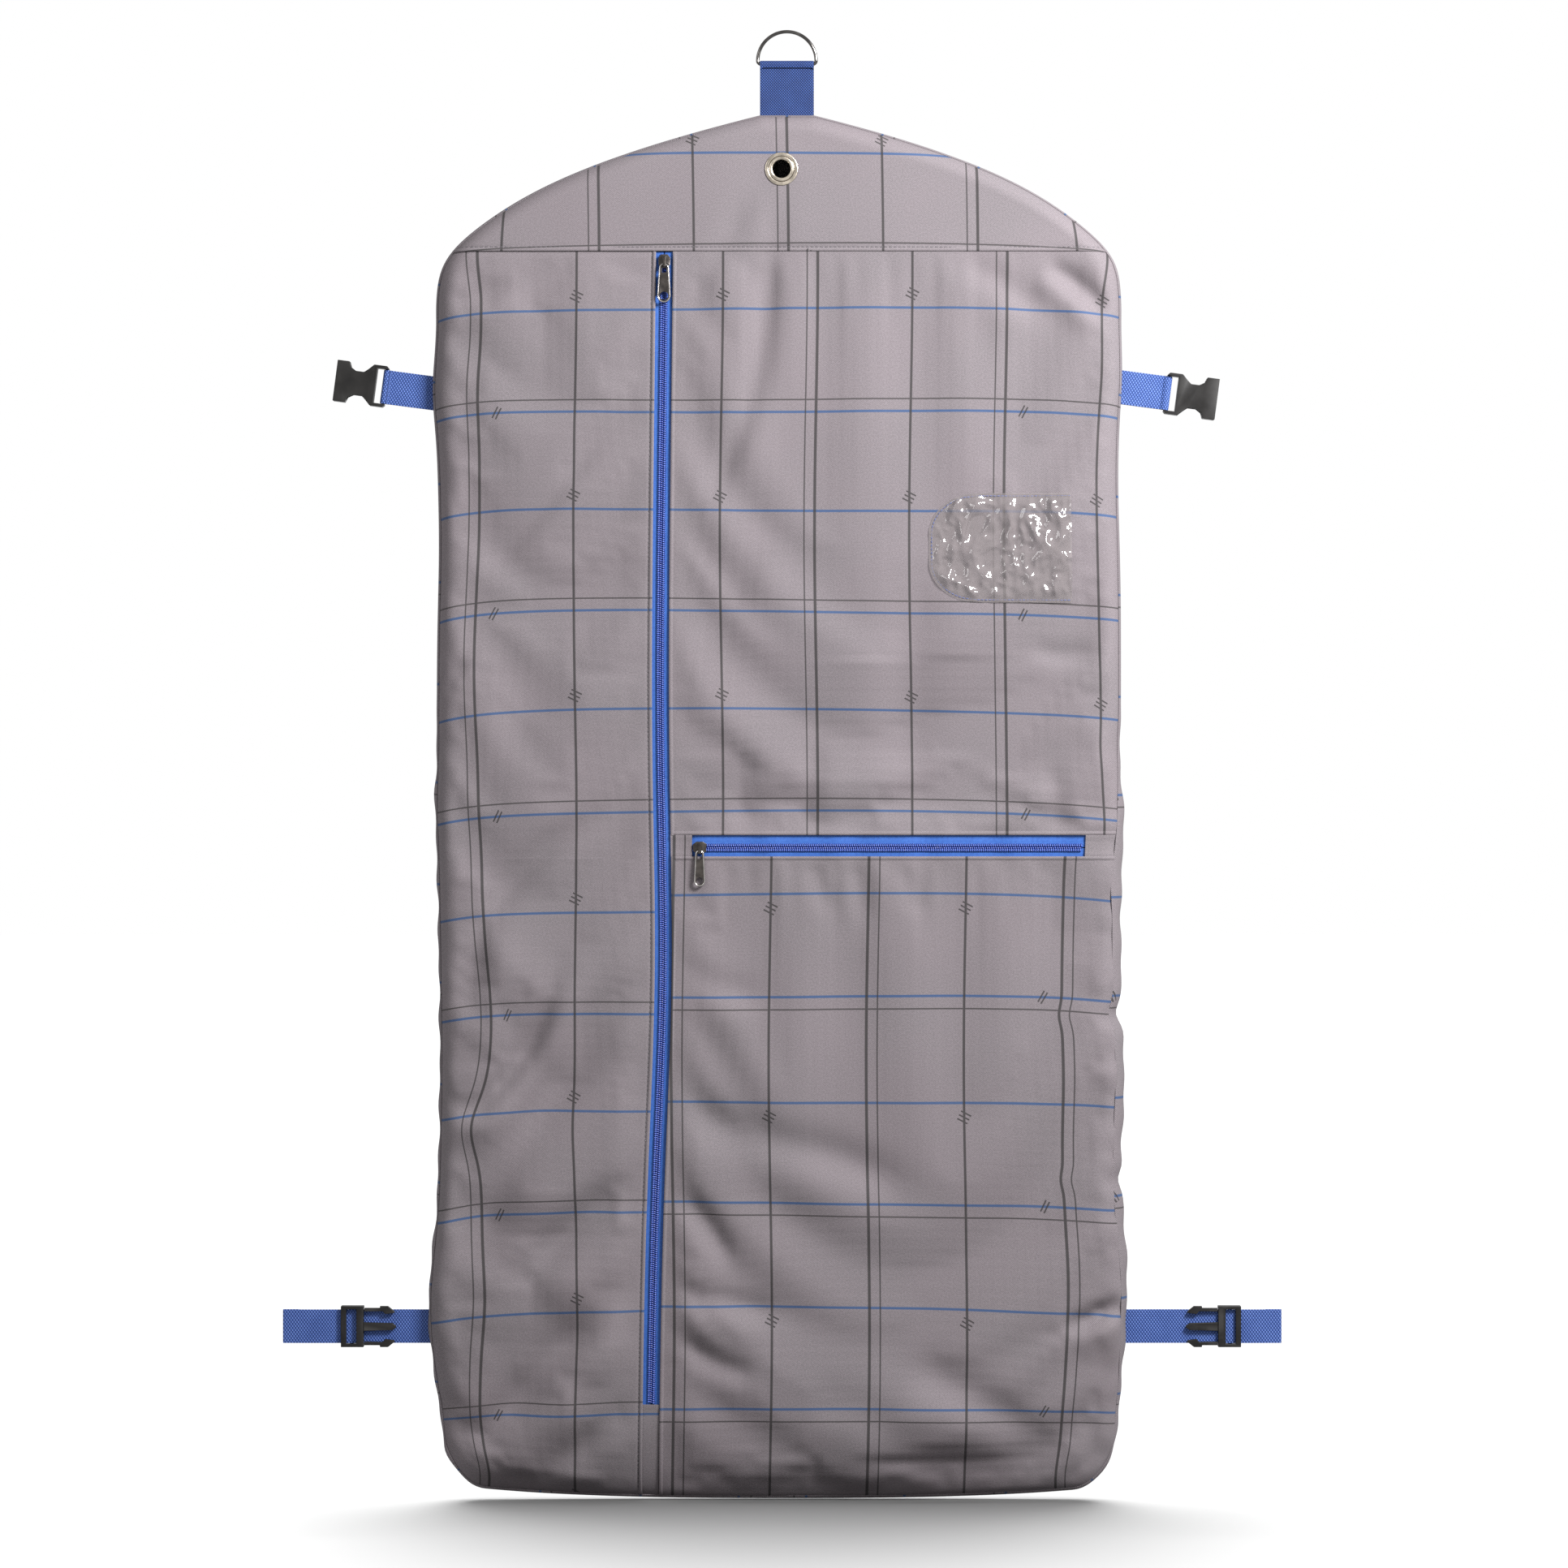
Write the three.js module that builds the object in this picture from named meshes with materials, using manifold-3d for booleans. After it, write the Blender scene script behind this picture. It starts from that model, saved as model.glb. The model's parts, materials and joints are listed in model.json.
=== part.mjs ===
// A hanging garment bag: a flat woven-cloth bag with a long slanted front zip, a zipped pocket on
// its lower right half, a card window, a hanging ring, and two pairs of buckled side straps that
// hold the bag folded in half.
//
// Millimetres. +Z is up, the front faces -Y and +X is to the right of someone facing the front.
// The origin is the inner top of the hanging ring, where the ring rests on its hook.
//
// The cloth folds across the middle in two creases with a short strip between them, so every
// panel, gusset and zip that crosses the fold is made in three bands: upper, fold and lower.
import * as THREE from 'three';
import { mergeVertices } from 'three/addons/utils/BufferGeometryUtils.js';
import Module from 'manifold-3d';

const wasm = await Module();
wasm.setup();

// ---------------------------------------------------------------- driving dimensions

const GAP = 0.3; // clearance between pieces that touch
const FAR = 2000; // longer than the bag, for cutting blocks

// The cloth bag.
const LEFT = -259.5;
const RIGHT = 247.5;
const TOP = -62;
const BOTTOM = -1088;
const SHOULDER_END = -210;
const NECK_HALF = 20;
const SHOULDER_REACH = 145; // how far the curve's neck handle reaches sideways
const SHOULDER_SLOPE = 0.25;
const SHOULDER_RISE = 72;
const CORNER = 30;
const FRONT = -18;
const BACK = 18;
const CLOTH = 1.2;

// Seams that divide the front.
const YOKE_SEAM = -164;
const FOLD_TOP = -596;
const FOLD_BOTTOM = -631;

// The main zip runs from under the yoke almost to the bottom, leaning a little to the left.
const ZIP_TOP = new THREE.Vector2(-90.5, -166);
const ZIP_BOTTOM = new THREE.Vector2(-100.5, -1018);
const ZIP_OPENING = 12;
const TAPE = 0.8;
const TAPE_REACH = 14;
const COIL_THICK = 2.4;
const COIL_HALF = 2.6;
const COIL_PARTING = 1.3;

// The pocket zip runs across the top of the pocket.
const POCKET_ZIP_Z = -605;
const POCKET_MOUTH_TOP = FOLD_TOP;
const POCKET_MOUTH_BOTTOM = -611.5;
const POCKET_ZIP_LEFT = -70.5;
const POCKET_ZIP_RIGHT = 219.5;
const LINING_FRONT = -11;
const LINING_RIGHT = 240;
const LINING_BOTTOM = -1070;

// Hanging loop, ring and eyelet.
const LOOP_WIDTH = 40;
const LOOP_SEWN_DEPTH = 16;
const WEBBING = 1.3;
const LOOP_ROOT = WEBBING; // half the thickness of doubled webbing
const LOOP_FLARE = 7; // where the two layers start to part round a bar
const RING_WIRE = 2.6;
const RING_RADIUS = 21.7;
const RING_LEG = 2.7;
const EYELET_X = -4;
const EYELET_Z = -103.3;
const EYELET_FLANGE = 12.3;
const EYELET_HOLE = 6.5;

// Sliders and their pulls.
const SLIDER_WIDTH = 8.8;
const SLIDER_LENGTH = 10;
const SLIDER_PLATE = 1;
const SLIDER_NOSE = 2.6;
const TAPE_FRONT = FRONT + CLOTH + GAP;
const COIL_FRONT = TAPE_FRONT + TAPE - COIL_THICK;
const SLIDER_FRONT = COIL_FRONT - 0.5 - SLIDER_PLATE;
const SLIDER_BACK = TAPE_FRONT + TAPE + 0.6;
const BRIDGE_RISE = 3.2;
const BRIDGE_WALL = 0.8;
const BRIDGE_WALL_END = 1;
const BRIDGE_HALF = 1.1;
const BRIDGE_TOP = 3.4;
const BRIDGE_BOTTOM = -4.4;
const PIVOT_Y = SLIDER_FRONT - (BRIDGE_RISE - BRIDGE_WALL) / 2;
const PIVOT_Z = -2.4;
const PULL_THICK = 1.1;
const PULL_BAR = 1.2;
const PULL_SLOT_HALF = 1.6;
const PULL_SLOT_LENGTH = 5.6;
const PULL_HOLE_SHARE = 0.62; // of the pull's rounded end

// Card window.
const WINDOW_LEFT = 105;
const WINDOW_RIGHT = 211;
const WINDOW_TOP = -343;
const WINDOW_BOTTOM = -424;
const VINYL = 0.5;

// Side straps and their buckles.
const STRAP_WIDTH = 25;
const STRAP_HALF = STRAP_WIDTH / 2;
const UPPER_STRAP_TILT = 7.5;
const BUCKLE_WIDTH = 30.5;
const BUCKLE_HALF = BUCKLE_WIDTH / 2;
const SOCKET_LENGTH = 38.5;
const SOCKET_THICK = 9;
const SOCKET_BAR = 3; // across the corners of the bar
const SOCKET_WALL = 1.8;
const FRAME_LENGTH = 17;
const FRAME_FRONT = -4.2;
const FRAME_BACK = 3.2;
const PRONG_LENGTH = 24;
const HEM = 11;
const UPPER_STRAPS = [
  { name: 'left', side: -1, edge: LEFT, z: -268, reach: 39 },
  { name: 'right', side: 1, edge: RIGHT, z: -263, reach: 35 },
];
const LOWER_STRAPS = [
  { name: 'left', side: -1, edge: LEFT, z: -961, length: 114, frameAt: 54.5 },
  { name: 'right', side: 1, edge: RIGHT, z: -961, length: 119, frameAt: 72.5 },
];

// ---------------------------------------------------------------- materials

const FINISHES = {
  cloth: { color: 0x958b8a, roughness: 0.85, metalness: 0 },
  lining: { color: 0x3a3838, roughness: 0.9, metalness: 0 },
  webbing: { color: 0x3a5fbd, roughness: 0.7, metalness: 0 },
  zip: { color: 0x3558b8, roughness: 0.6, metalness: 0 },
  plastic: { color: 0x2b2826, roughness: 0.55, metalness: 0 },
  gunmetal: { color: 0x55504a, roughness: 0.3, metalness: 1 },
  nickel: { color: 0xc9bfae, roughness: 0.2, metalness: 1 },
  vinyl: { color: 0xe8ecf0, roughness: 0.1, metalness: 0 },
};

const bag = new THREE.Group();

function add(name, finish, geometry, group = bag) {
  const mesh = new THREE.Mesh(geometry, new THREE.MeshStandardMaterial(FINISHES[finish]));
  mesh.name = name;
  group.add(mesh);
}

// ---------------------------------------------------------------- solids, joined and cut

function solid(geometry) {
  const bare = geometry.clone();
  bare.deleteAttribute('normal');
  bare.deleteAttribute('uv');
  const merged = mergeVertices(bare, 1e-4);
  const vertProperties = new Float32Array(merged.attributes.position.array);
  const triVerts = new Uint32Array(merged.index.array);
  return new wasm.Manifold(new wasm.Mesh({ numProp: 3, vertProperties, triVerts }));
}

function geometryOf(manifold) {
  const mesh = manifold.getMesh();
  const geometry = new THREE.BufferGeometry();
  geometry.setAttribute('position', new THREE.BufferAttribute(mesh.vertProperties, 3));
  geometry.setIndex(new THREE.BufferAttribute(mesh.triVerts, 1));
  geometry.computeVertexNormals();
  return geometry;
}

// A box between two corners, in any order.
function block(x0, x1, y0, y1, z0, z1) {
  const size = [Math.abs(x1 - x0), Math.abs(y1 - y0), Math.abs(z1 - z0)];
  const box = new THREE.BoxGeometry(...size);
  return box.translate((x0 + x1) / 2, (y0 + y1) / 2, (z0 + z1) / 2);
}

// A shape drawn in X and Z, given thickness between two Y levels.
function plate(shape, yFront, yBack, curveSegments = 10) {
  const options = { depth: yBack - yFront, bevelEnabled: false, curveSegments };
  return new THREE.ExtrudeGeometry(shape, options).rotateX(Math.PI / 2).translate(0, yBack, 0);
}

function polygon(points) {
  return new THREE.Shape(points.map(([x, z]) => new THREE.Vector2(x, z)));
}

function cylinderAlongY(radius, y0, y1, sides = 32) {
  return new THREE.CylinderGeometry(radius, radius, y1 - y0, sides).translate(0, (y0 + y1) / 2, 0);
}

// ---------------------------------------------------------------- the bag's outline

// The whole bag seen from the front, shrunk on every side by inset.
function bagOutline(inset) {
  const left = LEFT + inset;
  const right = RIGHT - inset;
  const top = TOP - inset;
  const bottom = BOTTOM + inset;
  const corner = CORNER - inset;
  const handleX = NECK_HALF + SHOULDER_REACH;
  const handleZ = top - SHOULDER_SLOPE * SHOULDER_REACH;
  const shoulderTop = SHOULDER_END + SHOULDER_RISE;
  const shape = new THREE.Shape();
  shape.moveTo(left + corner, bottom);
  shape.lineTo(right - corner, bottom);
  shape.absarc(right - corner, bottom + corner, corner, -Math.PI / 2, 0);
  shape.lineTo(right, SHOULDER_END);
  shape.bezierCurveTo(right, shoulderTop, handleX, handleZ, NECK_HALF, top);
  shape.lineTo(-NECK_HALF, top);
  shape.bezierCurveTo(-handleX, handleZ, left, shoulderTop, left, SHOULDER_END);
  shape.lineTo(left, bottom + corner);
  shape.absarc(left + corner, bottom + corner, corner, Math.PI, Math.PI * 1.5);
  return shape;
}

function zipX(z) {
  const along = (ZIP_TOP.y - z) / (ZIP_TOP.y - ZIP_BOTTOM.y);
  return THREE.MathUtils.lerp(ZIP_TOP.x, ZIP_BOTTOM.x, along);
}

// The part of the XZ plane between two heights, on one side of the main zip or of a given X.
function region(zTop, zBottom, leftOf, rightOf) {
  const x0 = typeof leftOf === 'function' ? leftOf : () => leftOf;
  const x1 = typeof rightOf === 'function' ? rightOf : () => rightOf;
  const corners = [[x0(zBottom), zBottom], [x1(zBottom), zBottom], [x1(zTop), zTop], [x0(zTop), zTop]];
  return solid(plate(polygon(corners), -FAR, FAR));
}

const leftOfZip = (z) => zipX(z) - ZIP_OPENING / 2;
const rightOfZip = (z) => zipX(z) + ZIP_OPENING / 2;

const frontCloth = solid(plate(bagOutline(0), FRONT, FRONT + CLOTH));
const backCloth = solid(plate(bagOutline(0), BACK - CLOTH, BACK));
const gussetRing = solid(plate(bagOutline(0), FRONT + CLOTH + GAP, BACK - CLOTH - GAP))
  .subtract(solid(plate(bagOutline(CLOTH), -FAR, FAR)));

const BANDS = [
  { name: 'upper', top: TOP + 1, bottom: FOLD_TOP + GAP / 2 },
  { name: 'fold', top: FOLD_TOP - GAP / 2, bottom: FOLD_BOTTOM + GAP / 2 },
  { name: 'lower', top: FOLD_BOTTOM - GAP / 2, bottom: BOTTOM - 1 },
];

// ---------------------------------------------------------------- cloth panels

function addYoke() {
  const belowSeam = region(YOKE_SEAM, BOTTOM - 1, -FAR, FAR);
  const hole = solid(cylinderAlongY(EYELET_HOLE + 1.2, -FAR, FAR).translate(EYELET_X, 0, EYELET_Z));
  add('front_yoke', 'cloth', geometryOf(frontCloth.subtract(belowSeam).subtract(hole)));
}

function addBandPanels(band) {
  const frontTop = Math.min(band.top, YOKE_SEAM - GAP);
  const left = frontCloth.intersect(region(frontTop, band.bottom, -FAR, leftOfZip));
  add(`left_panel_${band.name}`, 'cloth', geometryOf(left));
  const back = backCloth.intersect(region(band.top, band.bottom, -FAR, FAR));
  add(`back_panel_${band.name}`, 'cloth', geometryOf(back));
}

function addRightPanel() {
  const upper = frontCloth.intersect(region(YOKE_SEAM - GAP, BANDS[0].bottom, rightOfZip, FAR));
  add('right_panel', 'cloth', geometryOf(upper));
}

// The gusset is the strip that joins front and back. It is slit where the hanging loop goes in.
function addGussets(band) {
  const slit = solid(block(-LOOP_WIDTH / 2 - GAP, LOOP_WIDTH / 2 + GAP,
    -LOOP_ROOT - GAP, LOOP_ROOT + GAP, TOP - 5, TOP + 1));
  const ring = gussetRing.subtract(slit);
  const left = ring.intersect(region(band.top, band.bottom, -FAR, -GAP / 2));
  const right = ring.intersect(region(band.top, band.bottom, GAP / 2, FAR));
  add(`gusset_left_${band.name}`, 'cloth', geometryOf(left));
  add(`gusset_right_${band.name}`, 'cloth', geometryOf(right));
}

// The pocket's outer panel hangs below its zip, with the lining that backs it inside the bag.
function addPocket(band) {
  const top = Math.min(band.top, POCKET_MOUTH_BOTTOM);
  const panel = frontCloth.intersect(region(top, band.bottom, rightOfZip, FAR));
  add(`pocket_panel_${band.name}`, 'cloth', geometryOf(panel));
  const liningEdge = (z) => zipX(z) + TAPE_REACH + 1;
  const bottom = Math.max(band.bottom, LINING_BOTTOM);
  const cut = region(band.top, bottom, liningEdge, LINING_RIGHT);
  const slab = solid(block(-FAR, FAR, LINING_FRONT, LINING_FRONT + CLOTH, -FAR, FAR));
  add(`pocket_lining_${band.name}`, 'lining', geometryOf(slab.intersect(cut)));
}

// Cloth tabs close the ends of the pocket's mouth, and a patch closes the main zip's lower end.
function addTabsAndPatch() {
  const mouth = [POCKET_MOUTH_TOP - GAP, POCKET_MOUTH_BOTTOM + GAP];
  const left = frontCloth.intersect(region(...mouth, rightOfZip, POCKET_ZIP_LEFT));
  add('pocket_tab_left', 'cloth', geometryOf(left));
  const right = frontCloth.intersect(region(...mouth, POCKET_ZIP_RIGHT, FAR));
  add('pocket_tab_right', 'cloth', geometryOf(right));
  const patchEdges = [(z) => leftOfZip(z) + GAP, (z) => rightOfZip(z) - GAP];
  const patch = frontCloth.intersect(region(ZIP_BOTTOM.y - GAP, BOTTOM - 1, ...patchEdges));
  add('zip_end_patch', 'cloth', geometryOf(patch));
}

// ---------------------------------------------------------------- zips

// Half of a zip laid along a line: its tape, with a coil of teeth along the inner edge.
// across is -1 or +1, the side of the line that this half is on.
function stringer(start, end, across, reach) {
  const along = end.clone().sub(start).normalize();
  const normal = new THREE.Vector2(-along.y, along.x).multiplyScalar(across);
  const strip = (near, far, yFront, yBack) => {
    const corner = (point, distance) => {
      const at = point.clone().addScaledVector(normal, distance);
      return [at.x, at.y];
    };
    const corners = [corner(start, near), corner(end, near), corner(end, far), corner(start, far)];
    return solid(plate(polygon(corners), yFront, yBack));
  };
  const tapeBack = TAPE_FRONT + TAPE;
  const tape = strip(COIL_PARTING / 2 + 0.2, reach, TAPE_FRONT, tapeBack);
  const coil = strip(COIL_PARTING / 2, COIL_HALF, COIL_FRONT, tapeBack);
  return tape.add(coil);
}

function addMainZip(band) {
  const top = Math.min(band.top, ZIP_TOP.y);
  const bottom = Math.max(band.bottom, ZIP_BOTTOM.y);
  const start = new THREE.Vector2(zipX(top), top);
  const end = new THREE.Vector2(zipX(bottom), bottom);
  for (const [side, across] of [['left', -1], ['right', 1]]) {
    const half = stringer(start, end, across, TAPE_REACH);
    add(`zip_${side}_${band.name}`, 'zip', geometryOf(half));
  }
}

function addPocketZip() {
  const start = new THREE.Vector2(POCKET_ZIP_LEFT + GAP, POCKET_ZIP_Z);
  const end = new THREE.Vector2(POCKET_ZIP_RIGHT - GAP, POCKET_ZIP_Z);
  const reachUp = POCKET_MOUTH_TOP - POCKET_ZIP_Z - GAP;
  add('pocket_zip_top', 'zip', geometryOf(stringer(start, end, 1, reachUp)));
  add('pocket_zip_bottom', 'zip', geometryOf(stringer(start, end, -1, TAPE_REACH)));
}

// ---------------------------------------------------------------- sliders and pulls

// The slider's two plates, its nose up, joined by the wedge that parts the coils.
function sliderPlates() {
  const half = SLIDER_WIDTH / 2;
  const length = SLIDER_LENGTH / 2;
  const heel = half * 0.62;
  const tip = half * 0.55;
  const outline = polygon([
    [-heel, -length], [heel, -length], [half, -length + SLIDER_NOSE],
    [half, length - SLIDER_NOSE], [tip, length], [-tip, length],
    [-half, length - SLIDER_NOSE], [-half, -length + SLIDER_NOSE],
  ]);
  const overlap = SLIDER_PLATE / 2;
  const wedgeHalf = COIL_PARTING / 2 - GAP;
  const front = solid(plate(outline, SLIDER_FRONT, SLIDER_FRONT + SLIDER_PLATE));
  const back = solid(plate(outline, SLIDER_BACK, SLIDER_BACK + SLIDER_PLATE));
  const wedge = solid(block(
    -wedgeHalf, wedgeHalf, SLIDER_FRONT + overlap, SLIDER_BACK + overlap, 0, length - 0.4,
  ));
  return front.add(back).add(wedge);
}

// The arch over the front plate that the pull hangs from.
function sliderBridge() {
  const rise = SLIDER_FRONT - BRIDGE_RISE;
  const seat = SLIDER_FRONT + SLIDER_PLATE / 2;
  const arch = solid(block(-BRIDGE_HALF, BRIDGE_HALF, rise, seat, BRIDGE_BOTTOM, BRIDGE_TOP));
  const window = solid(block(
    -FAR, FAR, rise + BRIDGE_WALL, SLIDER_FRONT,
    BRIDGE_BOTTOM + BRIDGE_WALL_END, BRIDGE_TOP - BRIDGE_WALL_END,
  ));
  return arch.subtract(window);
}

// A pull hanging from its pivot at the origin of X and Z: a tapered plate, slotted at the top to
// pass round the bridge, with a round hole near its lower end.
function pull(length, widthTop, widthBottom) {
  const top = PULL_BAR / 2;
  const bottom = top - length;
  const round = widthBottom / 2;
  const shoulder = widthTop / 2;
  const chamfer = 1;
  const shape = new THREE.Shape();
  shape.moveTo(-shoulder, top - chamfer);
  shape.lineTo(-round, bottom + round);
  shape.absarc(0, bottom + round, round, Math.PI, Math.PI * 2);
  shape.lineTo(shoulder, top - chamfer);
  shape.lineTo(shoulder - chamfer, top);
  shape.lineTo(-shoulder + chamfer, top);
  const body = solid(plate(shape, PIVOT_Y - PULL_THICK / 2, PIVOT_Y + PULL_THICK / 2));
  const slotEnds = [-top, -top - PULL_SLOT_LENGTH];
  const slot = solid(block(-PULL_SLOT_HALF, PULL_SLOT_HALF, -FAR, FAR, ...slotEnds));
  const holeRadius = round * PULL_HOLE_SHARE;
  const hole = solid(cylinderAlongY(holeRadius, -FAR, FAR, 20).translate(0, 0, bottom + round));
  return body.subtract(slot).subtract(hole);
}

function addSliders() {
  const lean = Math.atan2(ZIP_TOP.x - ZIP_BOTTOM.x, ZIP_TOP.y - ZIP_BOTTOM.y);
  const mainZ = ZIP_TOP.y - SLIDER_LENGTH / 2 - 0.6;
  const main = new THREE.Group();
  main.position.set(zipX(mainZ), 0, mainZ);
  main.rotation.y = lean;
  add('main_slider', 'gunmetal', geometryOf(sliderPlates().add(sliderBridge())), main);
  const mainPull = geometryOf(pull(29, 7.4, 10)).translate(0, 0, PIVOT_Z);
  add('main_pull', 'gunmetal', mainPull, main);

  // The pocket's slider lies on its side, nose to the left, and its pull still hangs down.
  const pocket = new THREE.Group();
  pocket.position.set(POCKET_ZIP_LEFT + SLIDER_LENGTH / 2 + 1, 0, POCKET_ZIP_Z);
  const onItsSide = solid(geometryOf(sliderPlates()).rotateY(-Math.PI / 2));
  add('pocket_slider', 'gunmetal', geometryOf(onItsSide.add(sliderBridge())), pocket);
  const smallPull = geometryOf(pull(27, 6.6, 8.4)).translate(0, 0, PIVOT_Z);
  add('pocket_pull', 'gunmetal', smallPull, pocket);
  bag.add(main, pocket);
}

// ---------------------------------------------------------------- webbing loops

// Webbing doubled round a bar: two layers side by side, parting round the bar at distance
// length. Drawn with the length along +Z from the origin, then given its width along X.
function webbingLoop(length, width, barRadius, sewnDepth) {
  const inner = barRadius + GAP;
  const outer = inner + WEBBING;
  const shape = new THREE.Shape();
  shape.moveTo(-LOOP_ROOT, -sewnDepth);
  shape.lineTo(LOOP_ROOT, -sewnDepth);
  shape.lineTo(LOOP_ROOT, length - LOOP_FLARE);
  shape.lineTo(outer, length);
  shape.absarc(0, length, outer, 0, Math.PI);
  shape.lineTo(-LOOP_ROOT, length - LOOP_FLARE);
  const eye = new THREE.Path();
  eye.absarc(0, length, inner, 0, Math.PI * 2);
  shape.holes.push(eye);
  const options = { depth: width, bevelEnabled: false, curveSegments: 10 };
  const geometry = new THREE.ExtrudeGeometry(shape, options);
  // The shape's X becomes Y, its Y becomes Z, and its thickness runs along X.
  geometry.rotateX(Math.PI / 2).rotateZ(Math.PI / 2).translate(-width / 2, 0, 0);
  return geometry;
}

function addHangingLoop() {
  const barZ = ringBarZ();
  const loop = webbingLoop(barZ - TOP, LOOP_WIDTH, RING_WIRE / 2, LOOP_SEWN_DEPTH);
  add('hanging_loop', 'webbing', loop.translate(0, 0, TOP));
}

// ---------------------------------------------------------------- ring and eyelet

function ringBarZ() {
  return RING_WIRE / 2 - RING_RADIUS - RING_LEG;
}

// A D-ring: a half circle of wire on two short legs, closed by a straight bar.
function addRing() {
  const centre = RING_WIRE / 2 - RING_RADIUS;
  const wire = new THREE.Shape().absarc(0, 0, RING_WIRE / 2, 0, Math.PI * 2);
  const foot = (side) => new THREE.Vector3(side * RING_RADIUS, 0, ringBarZ());
  const archAt = (angle) => new THREE.Vector3(
    RING_RADIUS * Math.cos(angle), 0, centre + RING_RADIUS * Math.sin(angle),
  );
  const bends = 20;
  const halfCircle = Array.from({ length: bends + 1 }, (_, k) => archAt((Math.PI * k) / bends));
  const path = new THREE.CatmullRomCurve3([foot(1), ...halfCircle, foot(-1)], false, 'centripetal');
  const options = { steps: 36, bevelEnabled: false, extrudePath: path, curveSegments: 5 };
  const arc = solid(new THREE.ExtrudeGeometry(wire, options));
  const bar = new THREE.CylinderGeometry(RING_WIRE / 2, RING_WIRE / 2, 2 * RING_RADIUS, 12);
  let ring = arc.add(solid(bar.rotateZ(Math.PI / 2).translate(0, 0, ringBarZ())));
  for (const side of [-1, 1]) {
    const elbow = new THREE.SphereGeometry(RING_WIRE / 2, 10, 8);
    ring = ring.add(solid(elbow.translate(side * RING_RADIUS, 0, ringBarZ())));
  }
  add('d_ring', 'nickel', geometryOf(ring));
}

// A round profile of [radius, height in front of the cloth] points, turned about Y.
function turned(profile) {
  const points = profile.map(([radius, height]) => new THREE.Vector2(radius, height));
  return new THREE.LatheGeometry(points, 32).rotateX(Math.PI).translate(EYELET_X, 0, EYELET_Z);
}

function addEyelet() {
  const front = -FRONT + GAP;
  const inside = -FRONT - CLOTH - GAP;
  const barrel = EYELET_HOLE + 0.8;
  const flangeThick = 0.7;
  const rim = 1.9;
  add('eyelet', 'nickel', turned([
    [EYELET_HOLE, inside - 1.6], [barrel, inside - 1.6], [barrel, front], [EYELET_FLANGE, front],
    [EYELET_FLANGE, front + flangeThick], [EYELET_HOLE + 3, front + flangeThick],
    [EYELET_HOLE + 1.6, front + rim], [EYELET_HOLE, front + rim], [EYELET_HOLE, inside - 1.6],
  ]));
  const washerHole = barrel + GAP;
  add('eyelet_washer', 'nickel', turned([
    [washerHole, inside - flangeThick], [EYELET_FLANGE, inside - flangeThick],
    [EYELET_FLANGE, inside], [washerHole, inside], [washerHole, inside - flangeThick],
  ]));
}

// ---------------------------------------------------------------- card window

// A clear pane sewn on along three sides, rounded on the left and open on the right.
function addCardWindow() {
  const round = 36;
  const shape = new THREE.Shape();
  shape.moveTo(WINDOW_RIGHT, WINDOW_BOTTOM);
  shape.lineTo(WINDOW_RIGHT, WINDOW_TOP);
  shape.lineTo(WINDOW_LEFT + round, WINDOW_TOP);
  shape.absarc(WINDOW_LEFT + round, WINDOW_TOP - round, round, Math.PI / 2, Math.PI);
  shape.absarc(WINDOW_LEFT + round, WINDOW_BOTTOM + round, round, Math.PI, Math.PI * 1.5);
  add('card_window', 'vinyl', plate(shape, FRONT - GAP - VINYL, FRONT - GAP));
}

// ---------------------------------------------------------------- straps and buckles

// Strap pieces are drawn in a frame whose origin is the strap's root at the side seam. Distances
// grow outwards, so each X is the strap's side times its distance.

// Webbing sewn round the bar of a buckle socket. Its root stands off far enough for the corner of
// the tilted webbing to clear the gusset, and for its thickness to clear it as the strap swings.
function addUpperStrap(strap, group) {
  const tiltRoom = (STRAP_WIDTH / 2) * Math.sin(THREE.MathUtils.degToRad(UPPER_STRAP_TILT));
  const loop = webbingLoop(strap.reach, STRAP_WIDTH, SOCKET_BAR / 2, -tiltRoom - LOOP_ROOT);
  loop.rotateY((strap.side * Math.PI) / 2);
  add(`strap_upper_${strap.name}`, 'webbing', loop, group);
}

// The socket half of a side-release buckle: a flat shell, open at its outer end for the plug and
// at both waisted sides for the plug's prongs, with a bar across its inner end.
function buckleSocket(side, barAt) {
  const half = BUCKLE_HALF;
  const barHalf = SOCKET_BAR * 0.4;
  const inner = barAt - barHalf;
  const outer = inner + SOCKET_LENGTH;
  const waist = 8.8;
  const upperEdge = [
    [inner, half - 1.5], [inner + 1.5, half], [inner + 11, half], [inner + 15, half - 4],
    [inner + 18, waist], [inner + 24, waist], [inner + 28, half - 4], [inner + 29.5, half],
    [outer, half],
  ];
  const lowerEdge = upperEdge.map(([distance, z]) => [distance, -z]).reverse();
  const outline = polygon([...upperEdge, ...lowerEdge].map(([distance, z]) => [side * distance, z]));
  const shell = solid(plate(outline, -SOCKET_THICK / 2, SOCKET_THICK / 2));
  const mouthHalf = half - 2.4;
  const mouthDepth = SOCKET_THICK / 2 - SOCKET_WALL;
  const mouthStart = inner + 12;
  const mouth = solid(block(
    side * mouthStart, side * (outer + 5), -mouthDepth, mouthDepth, -mouthHalf, mouthHalf,
  ));
  const slotHalf = STRAP_HALF + 0.5;
  const slotEnd = inner + 8.5;
  const slot = solid(
    block(side * (barAt + barHalf), side * slotEnd, -FAR, FAR, -slotHalf, slotHalf),
  );
  const barRoom = [-1, 1].map((face) => solid(block(
    side * (inner - 1), side * (barAt + barHalf + 1),
    face * barHalf, face * SOCKET_THICK, -slotHalf, slotHalf,
  )));
  return shell.subtract(mouth).subtract(slot).subtract(barRoom[0]).subtract(barRoom[1]);
}

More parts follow.
